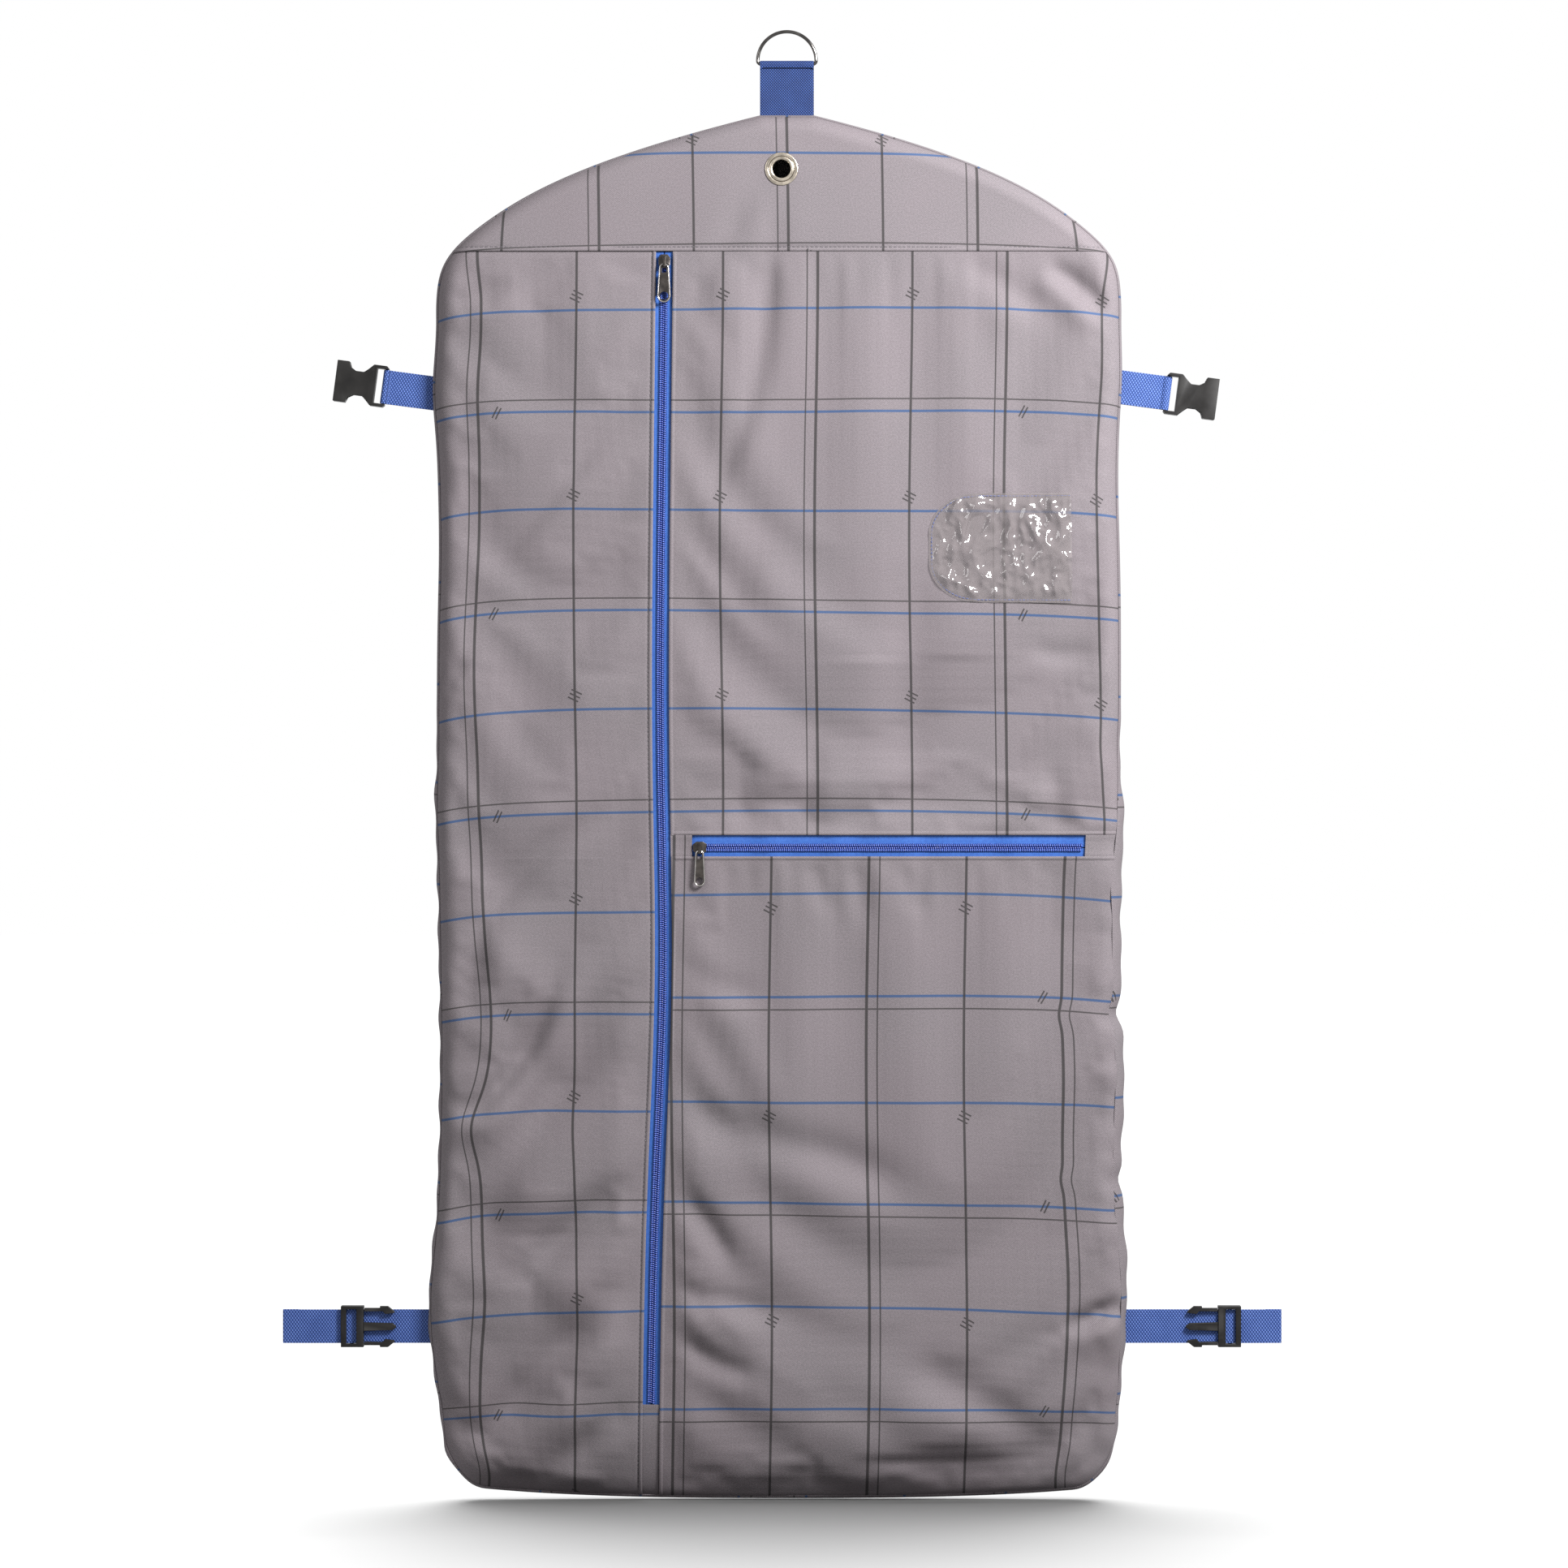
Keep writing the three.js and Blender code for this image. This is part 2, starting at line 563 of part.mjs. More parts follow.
// A flat strap with its tail folded back and hemmed.
function addLowerStrap(strap, group) {
  const root = strap.side * (WEBBING / 2);
  const end = strap.side * strap.length;
  const hemStart = end - strap.side * HEM;
  const band = solid(block(root, end, -WEBBING / 2, WEBBING / 2, -STRAP_HALF, STRAP_HALF));
  const fold = solid(block(hemStart, end, 0, 1.5 * WEBBING, -STRAP_HALF, STRAP_HALF));
  add(`strap_lower_${strap.name}`, 'webbing', geometryOf(band.add(fold)), group);
}

// The plug half of the buckle: a frame that the strap threads flat through, over a middle bar
// and under the two outer ones, and a guide that points back towards the bag.
function bucklePlug(side, frameAt) {
  const half = BUCKLE_HALF;
  const rail = STRAP_HALF + 0.4;
  const clear = WEBBING / 2 + GAP;
  const far = frameAt + FRAME_LENGTH;
  const bar = (near, length, y0, y1) => solid(
    block(side * near, side * (near + length), y0, y1, -half, half),
  );
  const rails = [-1, 1].map((end) => solid(
    block(side * frameAt, side * far, FRAME_FRONT, FRAME_BACK, end * rail, end * half),
  ));
  const bodyBar = bar(frameAt, 5.5, FRAME_FRONT, -clear);
  const middleBar = bar(frameAt + 8, 2.6, clear, FRAME_BACK);
  const outerBar = bar(far - 4, 4, FRAME_FRONT, -clear);
  const guideRoot = side * (frameAt + 1);
  const guideTip = side * (frameAt - PRONG_LENGTH);
  const guideNeck = guideTip + side * 3;
  const guideShape = polygon([
    [guideRoot, 3.2], [guideNeck, 2.6], [guideTip, 0.8],
    [guideTip, -0.8], [guideNeck, -2.6], [guideRoot, -3.2],
  ]);
  const guide = solid(plate(guideShape, FRAME_FRONT + 0.3, -clear));
  return rails[0].add(rails[1]).add(bodyBar).add(middleBar).add(outerBar).add(guide);
}

// A springy prong beside the guide: a thin arm with a barbed head. end is +1 above, -1 below.
function buckleProng(side, frameAt, end) {
  const root = frameAt - GAP;
  const tip = frameAt - PRONG_LENGTH + 1;
  // Each point: the distance out from the bag, and the depth in from the buckle's edge.
  const outline = [
    [root, 1.4], [root, 4], [tip + 9, 3.8], [tip + 7, 6], [tip, 5], [tip, 4], [tip + 5, 0],
    [tip + 11, 0], [tip + 11, 1.4],
  ];
  const shape = polygon(outline.map(([x, depth]) => [side * x, end * (BUCKLE_HALF - depth)]));
  return plate(shape, FRAME_FRONT + 0.4, -WEBBING / 2 - GAP);
}

function addStraps() {
  for (const strap of UPPER_STRAPS) {
    const group = new THREE.Group();
    group.position.set(strap.edge + strap.side * GAP, 0, strap.z);
    group.rotation.y = THREE.MathUtils.degToRad(UPPER_STRAP_TILT);
    addUpperStrap(strap, group);
    const socket = buckleSocket(strap.side, strap.reach);
    add(`buckle_socket_${strap.name}`, 'plastic', geometryOf(socket), group);
    bag.add(group);
  }
  for (const strap of LOWER_STRAPS) {
    const group = new THREE.Group();
    group.position.set(strap.edge + strap.side * GAP, 0, strap.z);
    addLowerStrap(strap, group);
    const plug = bucklePlug(strap.side, strap.frameAt);
    add(`buckle_plug_${strap.name}`, 'plastic', geometryOf(plug), group);
    for (const [place, end] of [['top', 1], ['bottom', -1]]) {
      const prong = buckleProng(strap.side, strap.frameAt, end);
      add(`prong_${strap.name}_${place}`, 'plastic', prong, group);
    }
    bag.add(group);
  }
}

// ---------------------------------------------------------------- the whole bag

addYoke();
for (const band of BANDS) {
  addBandPanels(band);
  addGussets(band);
  addMainZip(band);
}
addRightPanel();
addPocket(BANDS[1]);
addPocket(BANDS[2]);
addTabsAndPatch();
addPocketZip();
addSliders();
addHangingLoop();
addRing();
addEyelet();
addCardWindow();
addStraps();

export default bag;
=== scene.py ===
"""A hanging garment bag in checked cloth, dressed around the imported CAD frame.

The bag's skin is one smooth surface over a flat pattern. A point of the pattern has an x across the
bag and a z up it, in millimetres, and skin() says where that point lies in space: how deep the bag
is there, which folds cross it and how the cloth sags. Panels, zips and stitches are all laid on the
same skin, so they meet along their seams. Lengths are in millimetres until a mesh is made.
"""

import json
import math

import bmesh
import bpy
import numpy as np
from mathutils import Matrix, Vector

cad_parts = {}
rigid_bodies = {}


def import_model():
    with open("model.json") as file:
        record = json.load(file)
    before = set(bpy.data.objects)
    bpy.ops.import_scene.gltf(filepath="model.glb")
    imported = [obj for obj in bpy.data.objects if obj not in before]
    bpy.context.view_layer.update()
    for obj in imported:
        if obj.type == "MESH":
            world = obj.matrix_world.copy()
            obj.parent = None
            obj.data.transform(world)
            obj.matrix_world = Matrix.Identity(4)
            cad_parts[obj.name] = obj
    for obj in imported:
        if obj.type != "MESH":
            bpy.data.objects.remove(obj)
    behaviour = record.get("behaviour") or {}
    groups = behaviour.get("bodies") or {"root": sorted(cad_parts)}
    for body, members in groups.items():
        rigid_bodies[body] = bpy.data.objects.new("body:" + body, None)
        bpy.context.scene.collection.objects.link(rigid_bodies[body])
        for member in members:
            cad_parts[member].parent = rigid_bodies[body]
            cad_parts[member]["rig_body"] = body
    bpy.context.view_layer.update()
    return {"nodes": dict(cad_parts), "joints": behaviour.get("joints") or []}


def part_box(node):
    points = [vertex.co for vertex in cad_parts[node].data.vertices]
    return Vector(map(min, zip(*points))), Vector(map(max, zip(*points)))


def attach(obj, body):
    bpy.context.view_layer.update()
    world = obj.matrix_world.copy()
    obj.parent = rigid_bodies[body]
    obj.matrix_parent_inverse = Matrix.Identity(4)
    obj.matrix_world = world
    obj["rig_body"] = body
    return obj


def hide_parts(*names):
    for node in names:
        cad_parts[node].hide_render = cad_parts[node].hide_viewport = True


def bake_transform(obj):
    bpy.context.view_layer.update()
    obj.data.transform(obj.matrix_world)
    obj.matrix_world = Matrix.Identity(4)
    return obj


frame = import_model()

MM = 0.001


# ---------- places taken from the frame

def low(node):
    """The lowest corner of a CAD node, in millimetres."""
    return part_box(node)[0] / MM


def high(node):
    """The highest corner of a CAD node, in millimetres."""
    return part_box(node)[1] / MM


def middle(node):
    """The middle of a CAD node's box, in millimetres."""
    return (low(node) + high(node)) / 2


LEFT = low("gusset_left_lower").x
RIGHT = high("gusset_right_lower").x
TOP = high("front_yoke").z
BOTTOM = low("back_panel_lower").z
FRONT = low("front_yoke").y
BACK = high("back_panel_lower").y
YOKE_SEAM = low("front_yoke").z
ZIP_TOP = high("zip_left_upper").z
ZIP_BOTTOM = low("zip_left_lower").z
ZIP_TOP_X = middle("main_slider").x
ZIP_BOTTOM_X = middle("zip_end_patch").x + 0.5
ZIP_OPENING = 12.4
MOUTH_TOP = low("right_panel").z
MOUTH_BOTTOM = high("pocket_panel_fold").z
POCKET_ZIP_Z = middle("pocket_slider").z
POCKET_ZIP_LEFT = low("pocket_zip_top").x
POCKET_ZIP_RIGHT = high("pocket_zip_top").x
HINGE_UPPER = high("back_panel_fold").z
HINGE_LOWER = low("back_panel_fold").z
FOLD_SPLIT = (HINGE_UPPER + HINGE_LOWER) / 2
EYELET = middle("eyelet")

# The outline, as the CAD panels have it.
NECK_HALF = 20
SHOULDER_END = -210
SHOULDER_REACH = 145
SHOULDER_SLOPE = 0.25
SHOULDER_RISE = 72
CORNER = 30


# ---------- small arithmetic

def smooth(value, start, end):
    """0 before start, 1 after end, and a smooth step between them. start may be above end."""
    t = np.clip((np.asarray(value, float) - start) / (end - start), 0, 1)
    return t * t * (3 - 2 * t)


def bump(value, centre, spread):
    """A bell that is 1 at centre."""
    return np.exp(-(((np.asarray(value, float) - centre) / spread) ** 2))


def bumps(value, table):
    """The sum of several bells, each given as (centre, size, spread)."""
    return sum(size * bump(value, centre, spread) for centre, size, spread in table)


def mix(a, b, t):
    """From a to b as t goes from 0 to 1."""
    return a + (b - a) * t


def unit(vectors):
    """Each row scaled to a length of 1."""
    return vectors / np.maximum(np.linalg.norm(vectors, axis=1), 1e-9)[:, None]


def travelled(path):
    """The distance along a path up to each of its points."""
    return np.concatenate([[0], np.cumsum(np.linalg.norm(np.diff(path, axis=0), axis=1))])


def add_object(name, data):
    """A new object in the scene, for a mesh, a light or a camera."""
    obj = bpy.data.objects.new(name, data)
    bpy.context.scene.collection.objects.link(obj)
    return obj


def through(points, count):
    """A smooth curve through points, resampled to count points."""
    points = np.array(points, float)
    padded = np.vstack([2 * points[0] - points[1], points, 2 * points[-1] - points[-2]])
    samples = []
    spans = len(points) - 1
    for t in np.linspace(0, spans, count):
        k = min(int(t), spans - 1)
        f = t - k
        a, b, c, d = padded[k:k + 4]
        samples.append(0.5 * (2 * b + (c - a) * f + (2 * a - 5 * b + 4 * c - d) * f**2
                              + (3 * b - 3 * c + d - a) * f**3))
    return np.array(samples)


# ---------- the outline

def shoulder(side_x, side):
    """The shoulder from the neck to where the side is straight, as x and z arrays."""
    t = np.linspace(0, 1, 160)
    xs = (side * NECK_HALF, side * (NECK_HALF + SHOULDER_REACH), side_x, side_x)
    zs = (TOP, TOP - SHOULDER_SLOPE * SHOULDER_REACH, SHOULDER_END + SHOULDER_RISE, SHOULDER_END)
    weights = ((1 - t)**3, 3 * t * (1 - t)**2, 3 * t**2 * (1 - t), t**3)
    return sum(w * v for w, v in zip(weights, xs)), sum(w * v for w, v in zip(weights, zs))


LEFT_SHOULDER = shoulder(LEFT, -1)
RIGHT_SHOULDER = shoulder(RIGHT, 1)


def side_edge(z, side):
    """The x of the left (side -1) or right (side 1) edge at height z."""
    z = np.asarray(z, float)
    edge, (xs, zs) = (LEFT, LEFT_SHOULDER) if side < 0 else (RIGHT, RIGHT_SHOULDER)
    into_corner = np.clip(BOTTOM + CORNER - z, 0, CORNER)
    rounded = edge - side * (CORNER - np.sqrt(CORNER**2 - into_corner**2))
    return np.where(z > SHOULDER_END, np.interp(z, zs[::-1], xs[::-1]), rounded)


def top_edge(x):
    """The height of the shoulder line at x."""
    x = np.asarray(x, float)
    left = np.interp(x, LEFT_SHOULDER[0][::-1], LEFT_SHOULDER[1][::-1])
    right = np.interp(x, RIGHT_SHOULDER[0], RIGHT_SHOULDER[1])
    return np.where(x < 0, left, right)


def outline_points():
    """The closed outline, clockwise from the neck, about 4 mm apart."""
    down = np.arange(SHOULDER_END - 4, BOTTOM + CORNER, -4)
    corner_z = BOTTOM + CORNER * (1 - np.sin(np.linspace(0, math.pi / 2, 14)))
    side_z = np.concatenate([down, corner_z])
    right = np.column_stack([side_edge(side_z, 1), side_z])
    left = np.column_stack([side_edge(side_z, -1), side_z])
    base_x = np.arange(RIGHT - CORNER - 4, LEFT + CORNER, -4)
    base = np.column_stack([base_x, np.full(len(base_x), BOTTOM)])
    right_shoulder = np.column_stack(RIGHT_SHOULDER)
    left_shoulder = np.column_stack(LEFT_SHOULDER)
    return np.vstack([right_shoulder, right, base, left[::-1], left_shoulder[::-1]])


OUTLINE = outline_points()


def edge_distance(x, z):
    """How far inside the outline each point is."""
    p = np.column_stack([np.ravel(x), np.ravel(z)])
    a = OUTLINE
    b = np.roll(OUTLINE, -1, axis=0)
    along = b - a
    length2 = (along**2).sum(1)
    nearest = np.full(len(p), 1e9)
    for start in range(0, len(p), 4000):
        chunk = p[start:start + 4000]
        rel = chunk[:, None, :] - a[None]
        t = np.clip((rel * along).sum(2) / length2, 0, 1)
        gap = rel - t[..., None] * along
        nearest[start:start + 4000] = np.sqrt((gap**2).sum(2).min(1))
    return nearest.reshape(np.shape(x))


# ---------- how the cloth hangs

SIDE_ROLL = 17
SHOULDER_ROLL = 14
BOTTOM_ROLL = 78

# Where the sides stand out or draw in: (height, millimetres outwards, spread).
LEFT_SWELLS = ((-166, 5.0, 26), (-266, 3.0, 34), (-380, -1.6, 60), (-575, 1.4, 30),
               (-760, -2.2, 110), (-945, 6.2, 55), (-1030, -3.0, 26), (-1078, -9.0, 26))
RIGHT_SWELLS = ((-166, 5.0, 24), (-255, 1.2, 30), (-330, -2.0, 60), (-530, -1.0, 16),
                (-590, 2.2, 28), (-729, -4.0, 9), (-775, 2.5, 40), (-851, -3.2, 8), (-930, 4.6, 60),
                (-1030, -2.0, 26), (-1078, -8.0, 26))

# How far in from a side its swells are felt.
SWELL_REACH = 95

# The folds: points along each one, how wide it is, how deep, and how much of a ridge lies under it.
FOLDS = (
    # Left of the zip, each running down and out to the left edge.
    ([(-106, -268), (-141, -302), (-168, -338), (-205, -380), (-240, -405)], 9, 2.0, 0.8),
    ([(-150, -455), (-190, -500), (-225, -560)], 16, 1.4, 0.7),
    ([(-234, -465), (-262, -492)], 7, 2.4, 0.6),
    ([(-126, -572), (-165, -594), (-200, -627), (-226, -664), (-236, -704), (-262, -726)],
     11, 3.4, 0.8),
    ([(-168, -690), (-184, -738), (-208, -773), (-234, -797), (-264, -784)], 9, 4.6, 0.9),
    ([(-104, -689), (-140, -724), (-163, -775), (-204, -836), (-230, -896), (-262, -942)],
     17, 4.6, 0.8),
    ([(-112, -846), (-160, -886), (-204, -940)], 13, 4.6, 0.9),
    ([(-128, -936), (-170, -980), (-212, -1028), (-248, -1060)], 15, 6.4, 1.0),
    ([(-104, -1012), (-140, -1040), (-190, -1078)], 13, 3.6, 0.8),
    # Hanging from the eyelet.
    ([(-8, -118), (-13, -182), (-24, -260), (-45, -320), (-70, -356)], 9, 2.1, 0.7),
    ([(-22, -116), (-52, -168), (-78, -206)], 10, 1.6, 0.7),
    ([(-16, -378), (-40, -420), (-66, -458)], 12, 1.5, 0.6),
    # The right shoulder.
    ([(190, -168), (215, -190), (242, -216)], 8, 4.0, 0.9),
    ([(130, -160), (160, -188), (196, -212)], 11, 1.8, 0.7),
    ([(-252, -203), (-228, -198), (-196, -184)], 8, 2.2, 0.7),
    # Down from the card window to the pocket's zip.
    ([(92, -384), (90, -470), (93, -590)], 20, 2.4, 0.6),
    ([(20, -520), (17, -560), (16, -596)], 9, 1.6, 0.5),
    ([(-28, -530), (-32, -560), (-31, -596)], 10, 1.4, 0.5),
    ([(196, -540), (199, -570), (198, -596)], 9, 1.8, 0.5),
    ([(176, -458), (205, -462), (232, -460)], 8, 1.6, 0.6),
    # The pocket.
    ([(-84, -686), (-54, -706), (-14, -716)], 12, 2.0, 0.7),
    ([(-84, -790), (-28, -816), (44, -836), (100, -866)], 15, 3.6, 0.8),
    ([(-86, -856), (-58, -884), (-40, -918)], 9, 3.0, 0.8),
    ([(-84, -930), (-46, -940), (0, -952)], 10, 3.2, 0.8),
    ([(-84, -966), (-50, -986), (-20, -996)], 9, 2.8, 0.8),
    ([(84, -984), (136, -1010), (204, -1050)], 16, 3.8, 0.8),
    ([(10, -1008), (52, -1020), (86, -1040)], 15, 2.0, 0.7),
    ([(250, -942), (226, -950), (198, -964)], 8, 5.0, 0.8),
    ([(18, -614), (24, -632), (34, -660)], 8, 1.2, 0.4),
    ([(48, -614), (54, -634), (60, -668)], 8, 1.2, 0.4),
    ([(84, -614), (92, -636), (98, -660)], 8, 1.2, 0.4),
)
FOLD_SAMPLES = 48


def fold_depth(x, z):
    """How far the folds push the cloth back at each point of the pattern."""
    flat = np.column_stack([np.ravel(x), np.ravel(z)])
    total = np.zeros(len(flat))
    for points, width, depth, ridge in FOLDS:
        curve = through(points, FOLD_SAMPLES)
        reach = 5 * width
        close = np.all((flat > curve.min(0) - reach) & (flat < curve.max(0) + reach), axis=1)
        if not close.any():
            continue
        tangent = unit(np.gradient(curve, axis=0))
        below = np.column_stack([tangent[:, 1], -tangent[:, 0]])
        below *= np.where(below[:, 1:] > 0, -1, 1)
        rel = flat[close][:, None, :] - curve[None]
        k = (rel**2).sum(2).argmin(1)
        rel = rel[np.arange(len(k)), k]
        across = (rel * below[k]).sum(1)
        past_end = (rel * tangent[k]).sum(1)
        share = k / (FOLD_SAMPLES - 1)
        taper = smooth(share, 0, 0.3) * smooth(share, 1, 0.7) * 0.85 + 0.15
        shape = bump(across, 0, width) - ridge * 0.6 * bump(across, 1.8 * width, 1.3 * width)
        total[close] += depth * shape * taper * bump(past_end, 0, width)
    return total.reshape(np.shape(x))


def ripple(x, z, seed, longest, shortest, waves=26):
    """Gentle unevenness of the cloth, from -1 to 1, as a sum of waves in all directions."""
    random = np.random.RandomState(seed)
    total = np.zeros(np.shape(x))
    for _ in range(waves):
        length = math.exp(random.uniform(math.log(shortest), math.log(longest)))
        angle = random.uniform(0, math.pi)
        phase = random.uniform(0, 2 * math.pi)
        along = np.asarray(x) * math.cos(angle) + np.asarray(z) * math.sin(angle)
        total += np.sin(2 * math.pi * along / length + phase) * (length / longest)
    return total / math.sqrt(waves)


def zip_x(z):
    """The main zip's centre line: straight at first, then drifting left to its lower end."""
    bow = 5.2 * bump(z, -700, 150)
    return mix(ZIP_TOP_X, ZIP_BOTTOM_X, (ZIP_TOP - np.asarray(z)) / (ZIP_TOP - ZIP_BOTTOM)) + bow


def roll_at(z):
    """How far in from the edge the cloth is before it lies flat."""
    return (SIDE_ROLL + (SHOULDER_ROLL - SIDE_ROLL) * smooth(z, -290, -170)
            + (BOTTOM_ROLL - SIDE_ROLL) * smooth(z, -960, -1062))


def crown(z, distance):
    """The share of the bag's full depth at a distance in from its edge: 0 there, 1 well inside."""
    t = np.clip(distance / roll_at(z), 0, 1)
    return np.sqrt(np.clip(1 - (1 - t)**2, 0, 1))


def sway(x, z):
    """How the pattern's plane is pulled about: the sides swell and the lower corners ride up."""
    x, z = np.asarray(x, float), np.asarray(z, float)
    dx = (bumps(z, RIGHT_SWELLS) * smooth(x, RIGHT - SWELL_REACH, RIGHT)
          - bumps(z, LEFT_SWELLS) * smooth(x, LEFT + SWELL_REACH, LEFT))
    lift = 8.5 * np.abs(x / RIGHT)**2.6 * smooth(z, -990, BOTTOM)
    return x + dx, z + lift


def seam_calm(x, z):
    """Small on the zips, the yoke seam and the eyelet, which hold the cloth flat, and 1 elsewhere."""
    from_zip = np.abs(x - zip_x(z))
    beside_main = np.where(z < ZIP_TOP + 10, smooth(from_zip, 5, 34), 1)
    from_mouth = np.abs(z - POCKET_ZIP_Z)
    beside_pocket = np.where(x > zip_x(z), smooth(from_mouth, 6, 22), 1)
    beside_yoke = smooth(np.abs(z - YOKE_SEAM), 2, 22)
    beside_eyelet = smooth(np.hypot(x - EYELET.x, z - EYELET.z), 13, 26)
    sewn = (0.2 + 0.8 * beside_main) * (0.35 + 0.65 * beside_pocket) * (0.5 + 0.5 * beside_yoke)
    return sewn * beside_eyelet


def puckers(x, z):
    """Short gathers that stand off the pocket's zip and the side seams."""
    mouth = bump(z, POCKET_ZIP_Z, 26) * np.where(x > zip_x(z), 1, 0)
    gathers = np.sin(x / 7.3) + 0.6 * np.sin(x / 4.1 + 1.7)
    at_mouth = 0.45 * mouth * gathers
    side = bump(x, RIGHT, 17) * smooth(z, -500, -620) + 0.6 * bump(x, LEFT, 15)
    at_side = 0.7 * side * (np.sin(z / 6.1) + 0.7 * np.sin(z / 10.7 + 0.8) + 0.5 * np.sin(z / 3.7))
    return at_mouth + at_side


def grid_faces(rows, cols, wrap=False):
    """Quads of a grid, facing the viewer when rows run down and columns run right."""
    r, c = np.meshgrid(np.arange(rows - 1), np.arange(cols if wrap else cols - 1), indexing="ij")
    right = (c + 1) % cols
    quads = np.stack([r * cols + c, (r + 1) * cols + c, (r + 1) * cols + right, r * cols + right], -1)
    return quads.reshape(-1, 4).tolist()


SHEET_STEP = 8.0
SHEET_X = np.arange(LEFT, RIGHT + SHEET_STEP, SHEET_STEP)
SHEET_Z = np.arange(YOKE_SEAM + 8, BOTTOM - SHEET_STEP, -SHEET_STEP)
SHEET_FRAMES = 22
SHEET_CLOTH = {
    "quality": 6, "mass": 0.12, "tension_stiffness": 20, "compression_stiffness": 20,
    "shear_stiffness": 12, "bending_stiffness": 2.0, "shrink_min": -0.014,
}
SHEET_GRAVITY = 0.6
DEEPEST_SAG = 9


def settle():
    """Lets a slightly generous sheet sag between the bag's seams, and keeps how far it moved."""
    x, z = np.meshgrid(SHEET_X, SHEET_Z)
    start = np.stack([x, 1.2 * ripple(x, z, 2, 150, 50), z], -1).reshape(-1, 3) * MM
    mesh = bpy.data.meshes.new("settling_sheet")
    rows, cols = x.shape
    mesh.from_pydata(start.tolist(), [], grid_faces(rows, cols))
    sheet = add_object("settling_sheet", mesh)
    scene = bpy.context.scene
    on_zip = np.abs(x - zip_x(z)) < SHEET_STEP
    on_mouth = (np.abs(z - POCKET_ZIP_Z) < 11) & (x > zip_x(z))
    on_edge = (edge_distance(x, z) < 9) | (z > YOKE_SEAM - 4) | (x <= LEFT + 4) | (x >= RIGHT - 4)
    pinned = np.flatnonzero((on_zip | on_mouth | on_edge).ravel())
    sheet.vertex_groups.new(name="seams").add(pinned.tolist(), 1.0, "REPLACE")
    cloth = sheet.modifiers.new("cloth", "CLOTH")
    for setting, value in SHEET_CLOTH.items():
        setattr(cloth.settings, setting, value)
    cloth.settings.vertex_group_mass = "seams"
    cloth.settings.effector_weights.gravity = SHEET_GRAVITY
    cloth.point_cache.frame_end = SHEET_FRAMES
    for step in range(1, SHEET_FRAMES + 1):
        scene.frame_set(step)
    worked = sheet.evaluated_get(bpy.context.evaluated_depsgraph_get()).to_mesh()
    points = np.empty(len(worked.vertices) * 3)
    worked.vertices.foreach_get("co", points)
    scene.frame_set(1)
    bpy.data.objects.remove(sheet)
    moved = points.reshape(rows, cols, 3)[..., 1] / MM
    return np.clip(moved, -DEEPEST_SAG, DEEPEST_SAG)


SLACK = settle()


def settled(x, z):
    """How far the settled sheet lies behind its seams at each point."""
    column = np.clip((x - SHEET_X[0]) / SHEET_STEP, 0, len(SHEET_X) - 1.001)
    row = np.clip((SHEET_Z[0] - z) / SHEET_STEP, 0, len(SHEET_Z) - 1.001)
    c, r = column.astype(int), row.astype(int)
    fc, fr = smooth(column - c, 0, 1), smooth(row - r, 0, 1)
    upper = mix(SLACK[r, c], SLACK[r, c + 1], fc)
    lower = mix(SLACK[r + 1, c], SLACK[r + 1, c + 1], fc)
    return mix(upper, lower, fr)


CLOTH_THICK = 0.8

# How far the front bellies out low down, and how much each kind of slack shows.
BELLY = 2.8
FOLD_SHARE, RIPPLE_SHARE, SETTLED_SHARE = 1.35, 0.7, 0.6
CALM_EDGE = 16


def skin(x, z, raised=0.0):
    """The front of the bag over the pattern point (x, z), raised millimetres proud of the cloth."""
    x, z = np.broadcast_arrays(np.asarray(x, float), np.asarray(z, float))
    distance = edge_distance(x, z)
    calm = seam_calm(x, z)
    belly = BELLY * smooth(z, -640, -860) * smooth(distance, 0, 110) * calm
    slack = (FOLD_SHARE * fold_depth(x, z) + RIPPLE_SHARE * ripple(x, z, 7, 230, 60)
             + SETTLED_SHARE * settled(x, z)) * calm * np.clip(distance / CALM_EDGE, 0, 1)
    y = FRONT * crown(z, distance) - belly + slack + puckers(x, z) * np.clip(distance / 6, 0, 1)
    across, up = sway(x, z)
    return np.stack([across, y - raised, up], axis=-1)


def back_skin(x, z, raised=0.0):
    """The back of the bag over the pattern point (x, z)."""
    x, z = np.broadcast_arrays(np.asarray(x, float), np.asarray(z, float))
    distance = edge_distance(x, z)
    creases = 0.7 * fold_depth(RIGHT + LEFT - x, z) * smooth(distance, 4, 30)
    slack = 0.9 * ripple(x, z, 11, 260, 60) + 0.35 * np.abs(settled(x, z))
    slack = 0.7 * slack * np.clip(distance / CALM_EDGE, 0, 1)
    y = BACK * crown(z, distance) - CLOTH_THICK - slack - creases
    across, up = sway(x, z)
    return np.stack([across, y + raised, up], axis=-1)


# ---------- the woven check

CHECK_ACROSS = 140
CHECK_UP = 148.4
PAIR_DROP = 75.5

# Where each cut starts in the check: x of a thick line, z of a single blue line, whether it is
# turned upside down, and how much its weave is stretched.
CUTS = {
    "yoke": (0.0, -92.4, 1, 1.0),
    "left": (-226.6, -206.4, 1, 1.0),
    "right": (161.6, -206.4, 1, 1.0),
    "pocket": (204.0, -639.5, -1, 1.03),
    "back": (-8.0, -160.0, 1, 1.0),
}


# Where the folds drag the lines beside the left edge: (height, millimetres, spread).
LEFT_DRAGS = ((-735, 8.0, 60), (-812, -9.0, 26), (-480, -5.0, 90), (-940, 6.0, 42), (-1030, -3.0, 26))


